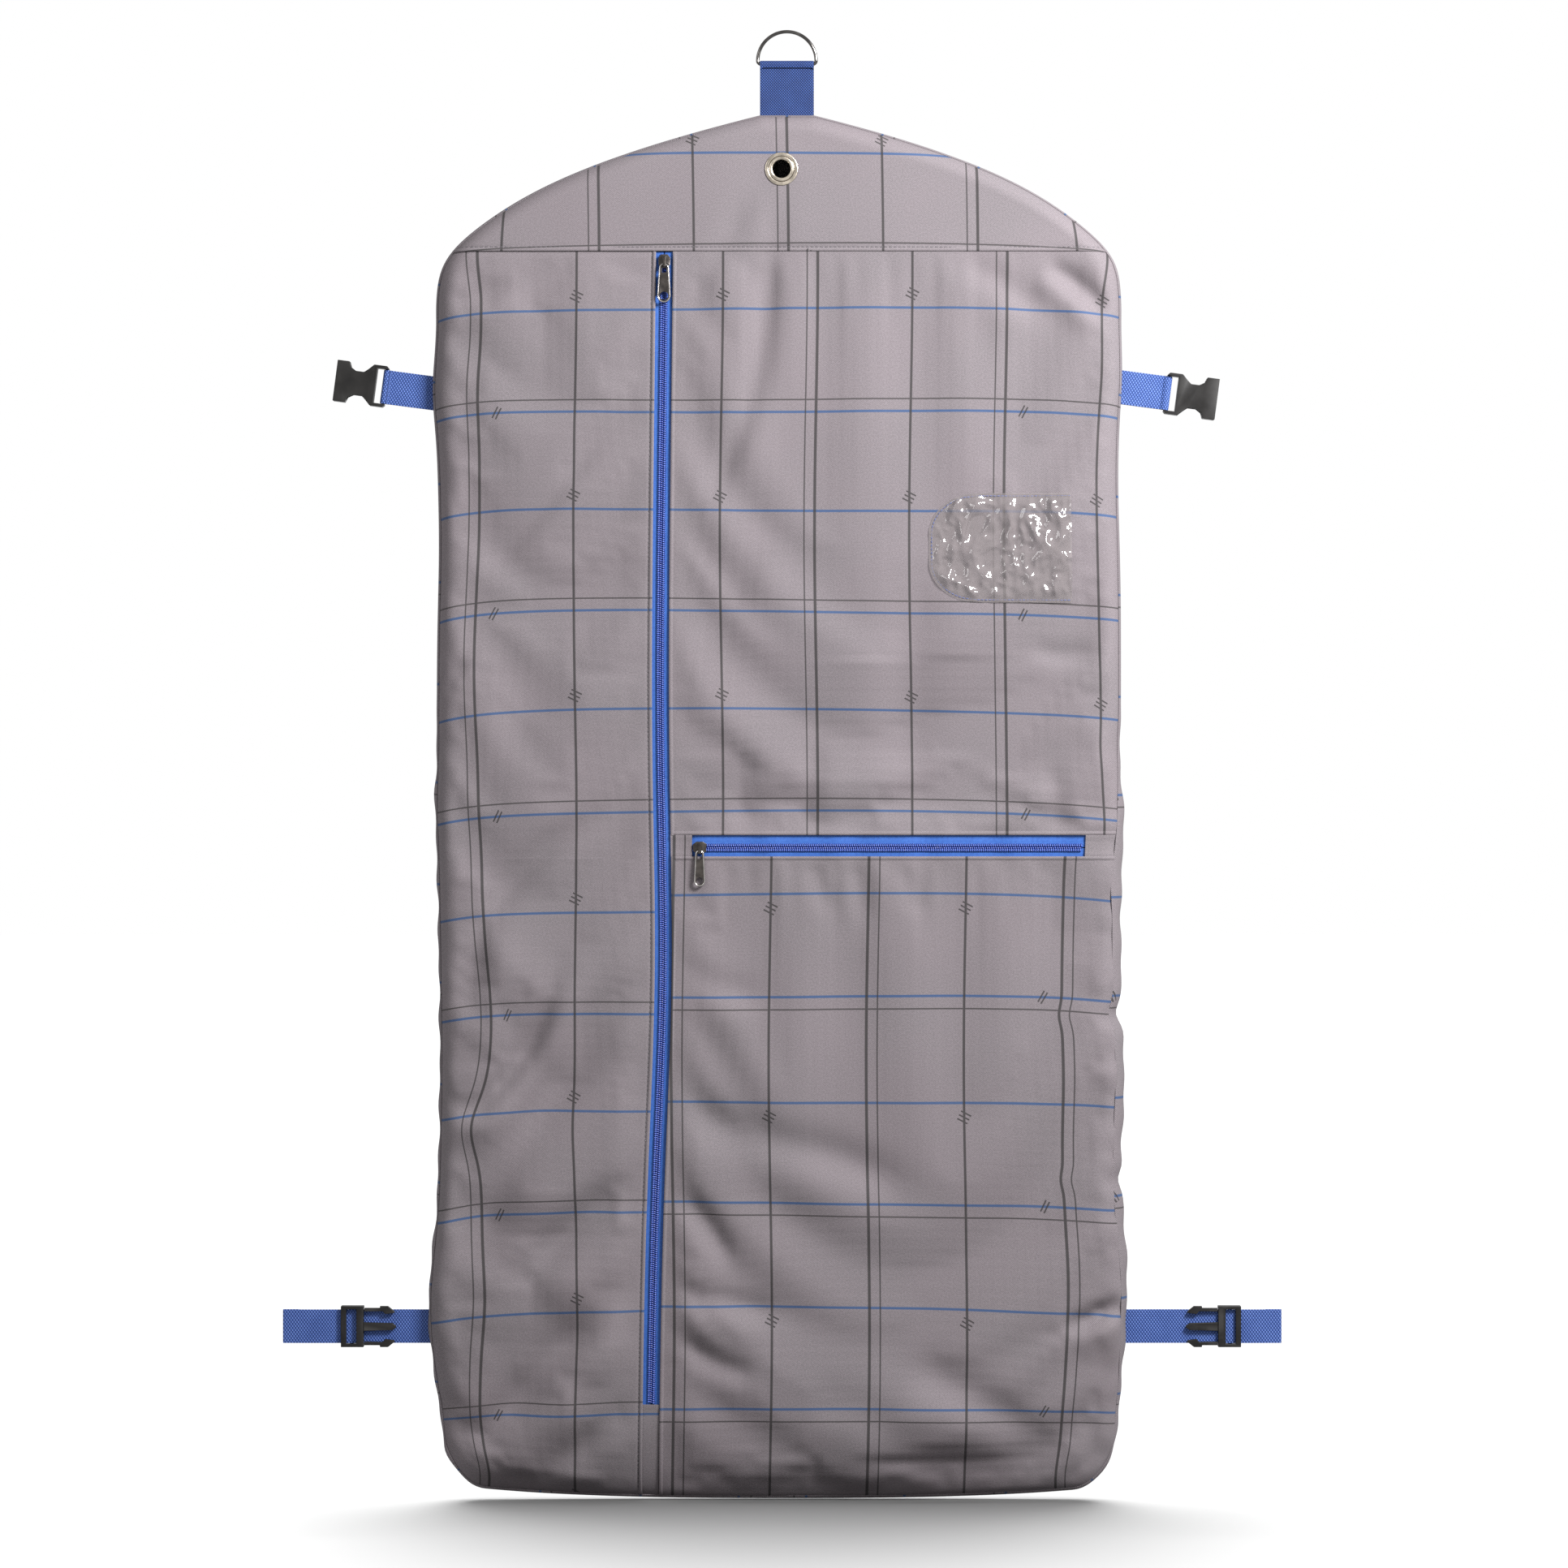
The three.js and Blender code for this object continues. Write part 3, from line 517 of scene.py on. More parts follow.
def drape_shift(x, z):
    """How far the check's lines are dragged off their straight course, across and up."""
    x, z = np.asarray(x, float), np.asarray(z, float)
    to_left, to_right = x - LEFT, RIGHT - x
    up = 9.0 * np.exp(-to_left / 34) + 6.5 * np.exp(-to_right / 55) + 1.2 * np.sin(z / 70 + x / 90)
    across = -bumps(z, LEFT_DRAGS) * bump(x, LEFT + 34, 46) + 1.2 * np.sin(z / 62 + 1.3)
    return across, up


def weave_at(u, v):
    """Places in a weave, across and along it, for its material to read."""
    u, v = np.broadcast_arrays(u, v)
    return np.stack([u, v, np.zeros(u.shape)], axis=-1) * MM


def cloth_at(x, z, cut):
    """The place in the woven check of each pattern point, for the cloth's material."""
    from_x, from_z, turn, stretch = CUTS[cut]
    across, up = drape_shift(x, z)
    return weave_at((x + across - from_x) * turn / stretch, (z + up - from_z) * turn / stretch)


# ---------- meshes


def make_object(name, vertices, faces, material, coords=None):
    """A smooth-shaded mesh from points in millimetres. coords is each point's place in its weave."""
    mesh = bpy.data.meshes.new(name)
    points = np.asarray(vertices, float).reshape(-1, 3) * MM
    mesh.from_pydata(points.tolist(), [], faces)
    mesh.polygons.foreach_set("use_smooth", [True] * len(mesh.polygons))
    if coords is not None:
        layer = mesh.attributes.new("weave_at", "FLOAT_VECTOR", "POINT")
        layer.data.foreach_set("vector", np.asarray(coords, np.float32).ravel())
    mesh.materials.append(material)
    mesh.update()
    return add_object(name, mesh)


def thicken(obj, thickness):
    """Gives a cloth sheet its thickness, behind the face that shows."""
    mesh = obj.data
    edge_of = np.empty(len(mesh.loops), np.int32)
    mesh.loops.foreach_get("edge_index", edge_of)
    border = np.bincount(edge_of, minlength=len(mesh.edges)) == 1
    mesh.attributes.new("sharp_edge", "BOOLEAN", "EDGE").data.foreach_set("value", border)
    solid = obj.modifiers.new("thickness", "SOLIDIFY")
    solid.thickness = thickness * MM
    solid.offset = -1
    return obj


def grid_object(name, points, material, coords=None, thickness=CLOTH_THICK, flip=False):
    """A cloth sheet over a grid of points. A flipped one faces back."""
    rows, cols = points.shape[:2]
    faces = grid_faces(rows, cols)
    if flip:
        faces = [face[::-1] for face in faces]
    return thicken(make_object(name, points, faces, material, coords), thickness)


def spread_over_fold(upper, lower):
    """Bakes each half's placement into its mesh; the two halves meet where the grid was split."""
    if upper is not None:
        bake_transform(upper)
    if lower is not None:
        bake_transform(lower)


def cross_fold(name, points, material, coords, thickness=CLOTH_THICK, flip=False):
    """A grid whose rows run down over the fold, made as an upper and a lower half."""
    at = int(np.abs(points[:, points.shape[1] // 2, 2] - FOLD_SPLIT).argmin())
    halves = []
    for part, rows in (("upper", slice(0, at + 1)), ("lower", slice(at, None))):
        halves.append(grid_object(f"{name}_{part}", points[rows], material, coords[rows], thickness, flip))
    spread_over_fold(*halves)
    return halves


CLOSER = np.array([0.15, 0.35, 0.6, 0.85, 1.2, 1.6, 2.2])


def steps(start, end, size, dense_start=0, dense_end=0):
    """Numbers from start to end about size apart, closer together near an end that asks for it."""
    count = max(2, int(round(abs(end - start) / size)) + 1)
    shares = [np.linspace(0, 1, count)]
    if dense_start:
        shares.append(CLOSER * dense_start / abs(end - start))
    if dense_end:
        shares.append(1 - CLOSER * dense_end / abs(end - start))
    return start + (end - start) * np.unique(np.concatenate(shares))


# ---------- materials

class Nodes:
    """A thin wrapper over a node tree, so that a material reads as a list of steps."""

    def __init__(self, name):
        self.material = bpy.data.materials.new(name)
        self.material.use_nodes = True
        self.tree = self.material.node_tree
        self.tree.nodes.clear()
        self.out = self.tree.nodes.new("ShaderNodeOutputMaterial")
        self.shader = self.tree.nodes.new("ShaderNodeBsdfPrincipled")
        self.tree.links.new(self.shader.outputs["BSDF"], self.out.inputs["Surface"])

    def set(self, **values):
        for key, value in values.items():
            socket = self.shader.inputs[key.replace("_", " ")]
            if isinstance(value, bpy.types.NodeSocket):
                self.tree.links.new(value, socket)
            else:
                socket.default_value = value
        return self.material

    def add(self, kind, inputs=(), **settings):
        node = self.tree.nodes.new(kind)
        for key, value in settings.items():
            setattr(node, key, value)
        for slot, value in dict(inputs).items():
            if isinstance(value, bpy.types.NodeSocket):
                self.tree.links.new(value, node.inputs[slot])
            else:
                node.inputs[slot].default_value = value
        return node

    def math(self, operation, *values):
        return self.add("ShaderNodeMath", dict(enumerate(values)), operation=operation).outputs[0]

    def ramp(self, value, start, end, low_value=0.0, high_value=1.0):
        """Turns value from start..end into low_value..high_value, smoothly."""
        inputs = {"Value": value, "From Min": start, "From Max": end,
                  "To Min": low_value, "To Max": high_value}
        return self.add("ShaderNodeMapRange", inputs, interpolation_type="SMOOTHSTEP").outputs["Result"]

    def times(self, a, b):
        return self.math("MULTIPLY", a, b)

    def plus(self, a, b):
        return self.math("ADD", a, b)

    def most(self, *values):
        """The greatest of several values."""
        greatest = values[0]
        for value in values[1:]:
            greatest = self.math("MAXIMUM", greatest, value)
        return greatest

    def blend(self, factor, a, b):
        """The colour a where factor is 0 and b where it is 1."""
        node = self.add("ShaderNodeMix", data_type="RGBA")
        for slot, value in (("Factor", factor), ("A", a), ("B", b)):
            socket = next(s for s in node.inputs if s.name == slot and s.type in
                          ("VALUE" if slot == "Factor" else "RGBA",))
            if isinstance(value, bpy.types.NodeSocket):
                self.tree.links.new(value, socket)
            else:
                socket.default_value = value
        return next(s for s in node.outputs if s.type == "RGBA")

    def noise(self, scale, detail=3.0, vector=None, rough=0.5):
        inputs = {"Scale": scale, "Detail": detail, "Roughness": rough}
        if vector is not None:
            inputs["Vector"] = vector
        return self.add("ShaderNodeTexNoise", inputs).outputs["Fac"]

    def place(self):
        """The object's own coordinates, which stay put on the piece."""
        return self.add("ShaderNodeTexCoord").outputs["Object"]

    def weave(self):
        """Each point's place in its weave: the vector, and its two parts across and along."""
        vector = self.add("ShaderNodeAttribute", attribute_name="weave_at").outputs["Vector"]
        parts = self.add("ShaderNodeSeparateXYZ", {"Vector": vector})
        return vector, parts.outputs["X"], parts.outputs["Y"]

    def bumped(self, height, strength, distance):
        inputs = {"Height": height, "Strength": strength, "Distance": distance}
        return self.add("ShaderNodeBump", inputs).outputs["Normal"]

    def wrapped(self, value, centre, period):
        """value less centre, wrapped to within half a period of zero."""
        shifted = self.math("SUBTRACT", value, centre)
        return self.add("ShaderNodeMath", {0: shifted, 1: period / 2, 2: -period / 2},
                        operation="WRAP").outputs[0]

    def line(self, value, centre, period, width, soft=0.00035):
        """1 on lines of a width that repeat at a period."""
        off = self.math("ABSOLUTE", self.wrapped(value, centre, period))
        return self.ramp(off, width / 2 + soft, width / 2 - soft)

    def strokes(self, u, v, count, spacing, length, width, angle):
        """1 on a few parallel strokes about u = v = 0, leaning by angle."""
        cosine, sine = math.cos(angle), math.sin(angle)
        along = self.plus(self.times(u, cosine), self.times(v, sine))
        across = self.math("SUBTRACT", self.times(v, cosine), self.times(u, sine))
        inside = self.math("LESS_THAN", self.math("ABSOLUTE", along), length / 2)
        within = self.math("LESS_THAN", self.math("ABSOLUTE", across), count * spacing / 2)
        each = self.line(across, spacing / 2 if count % 2 == 0 else 0.0, spacing, width, 0.0002)
        return self.times(self.times(inside, within), each)


def checked_cloth():
    """Warm grey twill with a window-pane check of dark and blue lines and small hash marks."""
    n = Nodes("checked_cloth")
    vector, u, v = n.weave()
    period_u, period_v = CHECK_ACROSS * MM, CHECK_UP * MM
    wide, middling, narrow = 0.0021, 0.0018, 0.0010
    thick = n.line(u, 0.0, period_u, wide)
    thin = n.line(u, -0.0078, period_u, narrow)
    hashed = n.line(u, period_u / 2, period_u, middling)
    blue = n.line(v, 0.0, period_v, middling)
    pair_blue = n.line(v, -PAIR_DROP * MM, period_v, middling)
    pair_thin = n.line(v, (9.0 - PAIR_DROP) * MM, period_v, narrow)
    hash_u = n.wrapped(u, period_u / 2, period_u)
    hash_v = n.wrapped(v, 0.0102, period_v)
    hashes = n.strokes(hash_u, hash_v, 3, 0.0030, 0.0082, 0.0011, math.radians(-27))
    tick_u = n.wrapped(u, 0.0135, 2 * period_u)
    tick_v = n.wrapped(v, -PAIR_DROP * MM, period_v)
    ticks = n.strokes(tick_u, tick_v, 2, 0.0026, 0.0092, 0.0011, math.radians(63))
    twill = n.math("SINE", n.plus(n.times(u, 5200.0), n.times(v, -4300.0)))
    slub = n.noise(900.0, 2.0, vector)
    cloud = n.noise(9.0, 3.0, vector)
    ground = n.blend(n.ramp(cloud, 0.3, 0.7), (0.070, 0.059, 0.064, 1), (0.063, 0.057, 0.060, 1))
    fleck = n.math("MULTIPLY_ADD", twill, 0.30, n.ramp(slub, 0.2, 0.8, 0.2, 0.8))
    ground = n.blend(n.ramp(fleck, 0.1, 0.9), ground, (0.102, 0.088, 0.096, 1))
    dark = (0.010, 0.009, 0.009, 1)
    navy = (0.011, 0.032, 0.082, 1)
    colour = n.blend(n.times(n.most(blue, pair_blue), 0.88), ground, navy)
    marks = n.most(thick, thin, hashed, pair_thin, hashes, ticks)
    colour = n.blend(n.times(marks, 0.86), colour, dark)
    height = n.plus(twill, n.times(slub, 1.2))
    normal = n.bumped(height, 0.5, 0.00016)
    rough = n.ramp(cloud, 0.2, 0.8, 0.74, 0.88)
    return n.set(Base_Color=colour, Roughness=rough, Normal=normal, Specular_IOR_Level=0.22)


def lining_cloth():
    """Plain dark lining in a fine weave."""
    n = Nodes("lining_cloth")
    _, u, v = n.weave()
    warp = n.times(n.math("SINE", n.times(u, 6000.0)),
                  n.math("SINE", n.times(v, 6000.0)))
    colour = n.blend(n.ramp(warp, -1, 1), (0.030, 0.029, 0.030, 1), (0.055, 0.053, 0.055, 1))
    return n.set(Base_Color=colour, Roughness=0.85, Normal=n.bumped(warp, 0.3, 0.0001))


def webbing_cloth(name, ground, shade, fleck, across=0.00193, along=0.00207):
    """Blue webbing: pale floats of yarn standing in staggered rows."""
    n = Nodes(name)
    vector, u, v = n.weave()

    def yarns(shift):
        column = n.math("ABSOLUTE", n.wrapped(u, shift * across, across))
        row = n.math("ABSOLUTE", n.wrapped(v, shift * along, along))
        return n.times(n.ramp(column, across * 0.30, across * 0.12), n.ramp(row, along * 0.34, along * 0.14))

    floats = n.most(yarns(0.0), yarns(0.5))
    uneven = n.noise(700.0, 2.0, vector)
    worn = n.noise(60.0, 3.0, vector)
    base = n.blend(n.ramp(uneven, 0.3, 0.7), ground, shade)
    colour = n.blend(n.times(floats, n.ramp(worn, 0.2, 0.7, 0.6, 1.0)), base, fleck)
    height = n.plus(floats, n.times(uneven, 0.3))
    return n.set(Base_Color=colour, Roughness=0.62, Normal=n.bumped(height, 0.8, 0.0004),
                 Specular_IOR_Level=0.2)


def tape_cloth():
    """The zip's woven tape: fine ribs along its length."""
    n = Nodes("zip_tape")
    vector, u, v = n.weave()
    ribs = n.math("SINE", n.times(u, 7800.0))
    picks = n.math("SINE", n.times(v, 9000.0))
    uneven = n.noise(500.0, 2.0, vector)
    texture = n.plus(n.times(ribs, 0.6), n.times(picks, 0.4))
    colour = n.blend(n.ramp(uneven, 0.25, 0.75), (0.006, 0.036, 0.150, 1), (0.010, 0.052, 0.186, 1))
    colour = n.blend(n.ramp(texture, -1, 1, 0.0, 0.35), colour, (0.035, 0.080, 0.30, 1))
    return n.set(Base_Color=colour, Roughness=0.6, Normal=n.bumped(texture, 0.4, 0.00012),
                 Specular_IOR_Level=0.2)


def nylon(name, colour, pale, rough):
    """Glossy moulded or drawn nylon."""
    n = Nodes(name)
    wear = n.noise(800.0, 2.0, n.place())
    mixed = n.blend(n.ramp(wear, 0.35, 0.75), colour, pale)
    return n.set(Base_Color=mixed, Roughness=n.ramp(wear, 0.2, 0.8, rough, rough + 0.15),
                 Normal=n.bumped(wear, 0.15, 0.00005), Specular_IOR_Level=0.35)


def thread(name, colour, pale):
    """Twisted sewing thread."""
    n = Nodes(name)
    twist = n.noise(2600.0, 1.0, n.place())
    mixed = n.blend(n.ramp(twist, 0.35, 0.65), colour, pale)
    return n.set(Base_Color=mixed, Roughness=0.7, Normal=n.bumped(twist, 0.5, 0.0001))


def moulded_plastic():
    """Black acetal with a fine spark-eroded grain, paler in patches on its sharp convex edges."""
    n = Nodes("moulded_plastic")
    grain = n.noise(1400.0, 3.0, n.place())
    smears = n.noise(55.0, 4.0, n.place())
    edge = n.add("ShaderNodeNewGeometry").outputs["Pointiness"]
    # Paler in patches where the surface is sharply convex.
    pale_convex_edges = n.times(n.ramp(edge, 0.52, 0.60), n.ramp(smears, 0.35, 0.65))
    colour = n.blend(n.ramp(smears, 0.3, 0.7), (0.0040, 0.0037, 0.0036, 1), (0.0070, 0.0065, 0.0062, 1))
    colour = n.blend(n.times(pale_convex_edges, 0.5), colour, (0.030, 0.029, 0.028, 1))
    return n.set(Base_Color=colour, Roughness=n.ramp(smears, 0.25, 0.75, 0.36, 0.5),
                 Normal=n.bumped(grain, 0.22, 0.00008), Specular_IOR_Level=0.15)


def plated_metal(name, colour, worn, rough, scratch=0.12):
    """Plated metal with fine scratches and a slightly uneven polish."""
    n = Nodes(name)
    haze = n.noise(180.0, 4.0, n.place())
    fine = n.noise(2400.0, 2.0, n.place())
    mixed = n.blend(n.ramp(haze, 0.3, 0.72), colour, worn)
    return n.set(Base_Color=mixed, Metallic=1.0, Roughness=n.ramp(haze, 0.2, 0.8, rough, rough + 0.14),
                 Normal=n.bumped(fine, scratch, 0.00004))


def clear_vinyl():
    """Clear soft vinyl with a faint haze, so that its creases catch the light."""
    n = Nodes("clear_vinyl")
    haze = n.noise(120.0, 3.0, n.place())
    return n.set(Base_Color=(0.12, 0.105, 0.107, 1), Roughness=n.ramp(haze, 0.2, 0.8, 0.03, 0.08),
                 Alpha=n.ramp(haze, 0.2, 0.8, 0.28, 0.36), Coat_Weight=1.0, Coat_Roughness=0.03,
                 Normal=n.bumped(haze, 0.1, 0.0003))


CLOTH = checked_cloth()
LINING = lining_cloth()
LOOP_WEB = webbing_cloth("loop_webbing", (0.0008, 0.0046, 0.032, 1), (0.0006, 0.0032, 0.023, 1),
                         (0.014, 0.040, 0.14, 1))
STRAP_WEB = webbing_cloth("strap_webbing", (0.006, 0.022, 0.100, 1), (0.004, 0.016, 0.078, 1),
                          (0.060, 0.100, 0.26, 1), 0.0030, 0.0022)
TAPE = tape_cloth()
COIL = nylon("zip_coil", (0.004, 0.014, 0.110, 1), (0.012, 0.032, 0.180, 1), 0.25)
ZIP_THREAD = thread("zip_thread", (0.05, 0.09, 0.34, 1), (0.12, 0.18, 0.50, 1))
DARK_THREAD = thread("dark_thread", (0.025, 0.022, 0.026, 1), (0.05, 0.045, 0.05, 1))
PALE_THREAD = thread("pale_thread", (0.18, 0.165, 0.17, 1), (0.26, 0.245, 0.25, 1))
NAVY_THREAD = thread("navy_thread", (0.025, 0.035, 0.10, 1), (0.05, 0.07, 0.18, 1))
PLASTIC = moulded_plastic()
GUNMETAL = plated_metal("gunmetal", (0.040, 0.036, 0.034, 1), (0.070, 0.062, 0.056, 1), 0.26)
NICKEL = plated_metal("nickel", (0.30, 0.265, 0.22, 1), (0.42, 0.37, 0.31, 1), 0.18)
# Paler plating for the pulls' raised rims. The rim is real shape, and its paler metal paints the highlight
# along it.
RIM_HIGHLIGHT_METAL = plated_metal("painted_rim_highlight", (0.24, 0.23, 0.22, 1), (0.36, 0.34, 0.33, 1), 0.16)
DARK_CHROME = plated_metal("dark_chrome", (0.060, 0.057, 0.055, 1), (0.10, 0.095, 0.09, 1), 0.07, 0.05)
VINYL = clear_vinyl()


# ---------- cloth panels

# How far apart the panels' mesh points are, and how far a panel runs on under a seam.
GRID = 3.0
OVERLAP = 3.0
FROM_EDGE = 3.1


def zip_edge(z, side):
    """The cloth's edge beside the main zip."""
    return zip_x(z) + side * ZIP_OPENING / 2


def beside_zip(z):
    """The edge of the right panels at the main zip."""
    return zip_edge(z, 1)


def gusset_show(z):
    """How much of the right gusset shows past the front panel's edge."""
    return (0.7 + 5.2 * smooth(z, -525, -620) - 2.4 * smooth(z, -870, -950)
            - 2.6 * smooth(z, -950, -1020) + 1.2 * bump(z, -632, 16))


def beside_gusset(z):
    """The right edge of the front, where the gusset starts to show."""
    return side_edge(z, 1) - gusset_show(z)


def lip(distance):
    """The height of a cloth edge turned under and stitched down, by distance from that edge."""
    rounded = 0.75 * np.sqrt(np.clip(1 - ((distance - 1.3) / 1.35)**2, 0, 1))
    return rounded - 0.45 * bump(distance, 3.1, 0.55)


def panel_points(z, left, right, left_lip=False, right_lip=False):
    """A grid of pattern points, one row for each z, from left(z) to right(z)."""
    width = float(np.max(right(z) - left(z)))
    dense_left = 2.0 if left_lip else 1.4
    dense_right = 2.0 if right_lip else 1.4
    share = steps(0.0, 1.0, GRID / width, dense_left / width, dense_right / width)
    x0, x1 = left(z)[:, None], right(z)[:, None]
    x = x0 + (x1 - x0) * share
    raised = np.zeros(x.shape)
    if left_lip:
        raised += lip(x - x0)
    if right_lip:
        raised += lip(x1 - x)
    return x, np.broadcast_to(z[:, None], x.shape), raised


def left_panel():
    """The front left of the main zip, in two halves over the fold."""
    z = steps(YOKE_SEAM + OVERLAP, BOTTOM + 1.0, GRID, 0, 2.0)
    x, z, raised = panel_points(z, lambda z: side_edge(z, -1) + 0.5, lambda z: zip_edge(z, -1),
                                right_lip=True)
    raised = raised - 0.9 * smooth(z, YOKE_SEAM - 1.2, YOKE_SEAM + 0.4)
    halves = cross_fold("left_panel", skin(x, z, raised), CLOTH, cloth_at(x, z, "left"))
    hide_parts("left_panel_upper")
    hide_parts("left_panel_fold", "left_panel_lower")


def right_panel():
    """The front right of the main zip, down to the pocket's mouth."""
    z = steps(YOKE_SEAM + OVERLAP, MOUTH_TOP, GRID, 0, 2.0)
    x, z, raised = panel_points(z, beside_zip, beside_gusset, left_lip=True)
    raised = raised - 0.9 * smooth(z, YOKE_SEAM - 1.2, YOKE_SEAM + 0.4)
    raised = np.maximum(raised, lip(z - MOUTH_TOP) * smooth(x - zip_edge(z, 1), 1, 4))
    piece = grid_object("right_panel_sewn", skin(x, z, raised), CLOTH, cloth_at(x, z, "right"))
    spread_over_fold(piece, None)
    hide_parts("right_panel")


def pocket_panel():
    """The pocket's outer wall, from its mouth to the base."""
    z = steps(MOUTH_BOTTOM, BOTTOM + 1.0, GRID, 2.0, 2.0)
    x, z, raised = panel_points(z, beside_zip, beside_gusset, left_lip=True)
    raised = np.maximum(raised, lip(MOUTH_BOTTOM - z) * smooth(x - zip_edge(z, 1), 1, 4)) + 0.5
    piece = grid_object("pocket_panel", skin(x, z, raised), CLOTH, cloth_at(x, z, "pocket"))
    spread_over_fold(None, piece)
    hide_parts("pocket_panel_fold", "pocket_panel_lower")


def yoke():
    """The shoulder piece, with a hole for the eyelet and its lower edge turned under."""
    x0 = float(side_edge(YOKE_SEAM, -1)) + 0.6
    x1 = float(side_edge(YOKE_SEAM, 1)) - 0.6
    x = steps(x0, x1, GRID, 2.0, 2.0)
    tall = 95
    share = steps(0.0, 1.0, GRID / tall, 1.4 / tall, 1.6 / tall)
    top = top_edge(x)[None, :] - 0.5
    z = top + (YOKE_SEAM - top) * share[:, None]
    x = np.broadcast_to(x[None, :], z.shape)
    raised = 0.35 + lip(z - YOKE_SEAM) * 0.8
    hole = 0.62 * (EYELET.x - low("eyelet_washer").x)
    off = np.hypot(x - EYELET.x, z - EYELET.z).ravel()
    faces = [face for face in grid_faces(*z.shape) if off[face].min() > hole]
    sheet = make_object("yoke", skin(x, z, raised), faces, CLOTH, cloth_at(x, z, "yoke"))
    piece = thicken(sheet, CLOTH_THICK)
    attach(piece, "bag_upper")
    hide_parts("front_yoke")


def tab(name, node, left, right):
    """A doubled scrap of cloth that closes one end of the pocket's mouth."""
    z = steps(MOUTH_TOP + 0.6, MOUTH_BOTTOM - 0.6, 1.6)
    x, z, _ = panel_points(z, left, right)
    raised = 0.15 + 0.5 * bump(np.minimum(np.abs(z - MOUTH_TOP), np.abs(z - MOUTH_BOTTOM)), 1.6, 1.1)
    piece = grid_object(name, skin(x, z, raised), CLOTH, cloth_at(x, z, "pocket"))
    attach(piece, "fold_spine")
    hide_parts(node)


def zip_patch():
    """The cloth that closes the slit below the main zip."""
    z = steps(ZIP_BOTTOM + 1.0, BOTTOM + 1.2, 2.0)
    x, z, _ = panel_points(z, lambda z: zip_edge(z, -1) - 1, lambda z: zip_edge(z, 1) + 1)
    hem = 0.6 * bump(z, ZIP_BOTTOM, 1.4)
    piece = grid_object("zip_patch", skin(x, z, hem - 0.5), CLOTH, cloth_at(x, z, "left"))
    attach(piece, "bag_lower")
    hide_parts("zip_end_patch")


def back_panel():
    """The plain back: its upper half starts at the shoulders, and its lower half is square."""
    x = steps(LEFT + 0.8, RIGHT - 0.8, 4.0, 3.0, 3.0)
    share = steps(0.0, 1.0, 0.008, 0.003, 0)
    top = top_edge(x)[None, :] - 0.6
    upper_z = top + (FOLD_SPLIT - top) * share[:, None]
    upper_x = np.broadcast_to(x[None, :], upper_z.shape)
    rows = steps(FOLD_SPLIT, BOTTOM + 1.0, 4.0, 0, 2.0)
    reach = (x - LEFT) / (RIGHT - LEFT)
    x0, x1 = side_edge(rows, -1)[:, None], side_edge(rows, 1)[:, None]
    lower_x = x0 + (x1 - x0) * reach
    lower_z = np.broadcast_to(rows[:, None], lower_x.shape)
    halves = []
    for part, xs, zs in (("upper", upper_x, upper_z), ("lower", lower_x, lower_z)):
        points = back_skin(xs, zs)
        halves.append(grid_object(f"back_{part}", points, CLOTH, cloth_at(xs, zs, "back"), flip=True))
    spread_over_fold(*halves)
    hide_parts("back_panel_upper")
    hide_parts("back_panel_fold", "back_panel_lower")


def gusset(side):
    """The strip that joins front to back, from the neck round one side to the middle of the base."""
    word = "left" if side < 0 else "right"
    shoulder_x, shoulder_z = LEFT_SHOULDER if side < 0 else RIGHT_SHOULDER
    rows_z = steps(SHOULDER_END - 3, BOTTOM + CORNER, 4.0)
    corner_z = BOTTOM + CORNER * (1 - np.sin(np.linspace(0.12, math.pi / 2, 12)))
    side_z = np.concatenate([rows_z, corner_z])
    side_x = side_edge(side_z, side)
    base_x = np.append(np.arange(side_x[-1] - side * 4, side * 1.0, -side * 4.0), 0.0)
    neck_x = np.arange(0.0, side * NECK_HALF, side * 4.0)
    x = np.concatenate([neck_x, shoulder_x[::3], side_x, base_x])
    z = np.concatenate([np.full(len(neck_x), TOP), shoulder_z[::3], side_z, np.full(len(base_x), BOTTOM)])
    course = np.column_stack([x, z])
    tangent = unit(np.gradient(course, axis=0))
    inward = np.column_stack([tangent[:, 1], -tangent[:, 0]]) * side
    length = travelled(course)
    roll = roll_at(z)
    show = gusset_show(z) if side > 0 else np.full(len(z), 0.5)
    reach = np.arccos(np.clip(1 - (show + 1.2) / roll, -1, 1))
    turn = np.linspace(-1, 1, 23)[None, :] * reach[:, None]
    inset = roll[:, None] * (1 - np.cos(turn))
    flat_x = x[:, None] + inward[:, :1] * inset
    flat_z = z[:, None] + inward[:, 1:] * inset
    across, up = sway(flat_x, flat_z)
    y = BACK * np.sin(turn)
    under = 0.5 * smooth(np.abs(turn) / reach[:, None], 0.86, 0.95)
    y = y - np.sign(y) * under
    gathers = 0.5 * (np.sin(length / 5.3) + 0.8 * np.sin(length / 8.9 + 1))[:, None]
    swell = gathers * np.cos(turn / reach[:, None] * math.pi / 2) * smooth(z, -480, -560)[:, None]
    across = across - inward[:, :1] * swell
    points = np.stack([across, y, up], axis=-1)
    coords = weave_at(y * 1.2 + 30, length[:, None])
    halves = cross_fold(f"gusset_{word}_strip", points, CLOTH, coords, flip=side > 0)
    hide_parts(f"gusset_{word}_upper")
    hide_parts(f"gusset_{word}_fold", f"gusset_{word}_lower")


def pocket_lining():
    """The pocket's inner wall, out of sight behind the pocket."""
    z = steps(high("pocket_lining_fold").z, low("pocket_lining_lower").z + 12, 8.0)
    x, z, _ = panel_points(z, lambda z: zip_edge(z, 1) + 6, lambda z: side_edge(z, 1) - 14)
    halves = cross_fold("pocket_back", skin(x, z, -6.0), LINING, weave_at(x, z), 0.5)
    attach(halves[0], "fold_spine")
    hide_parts("pocket_lining_fold")
    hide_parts("pocket_lining_lower")


# ---------- stitches

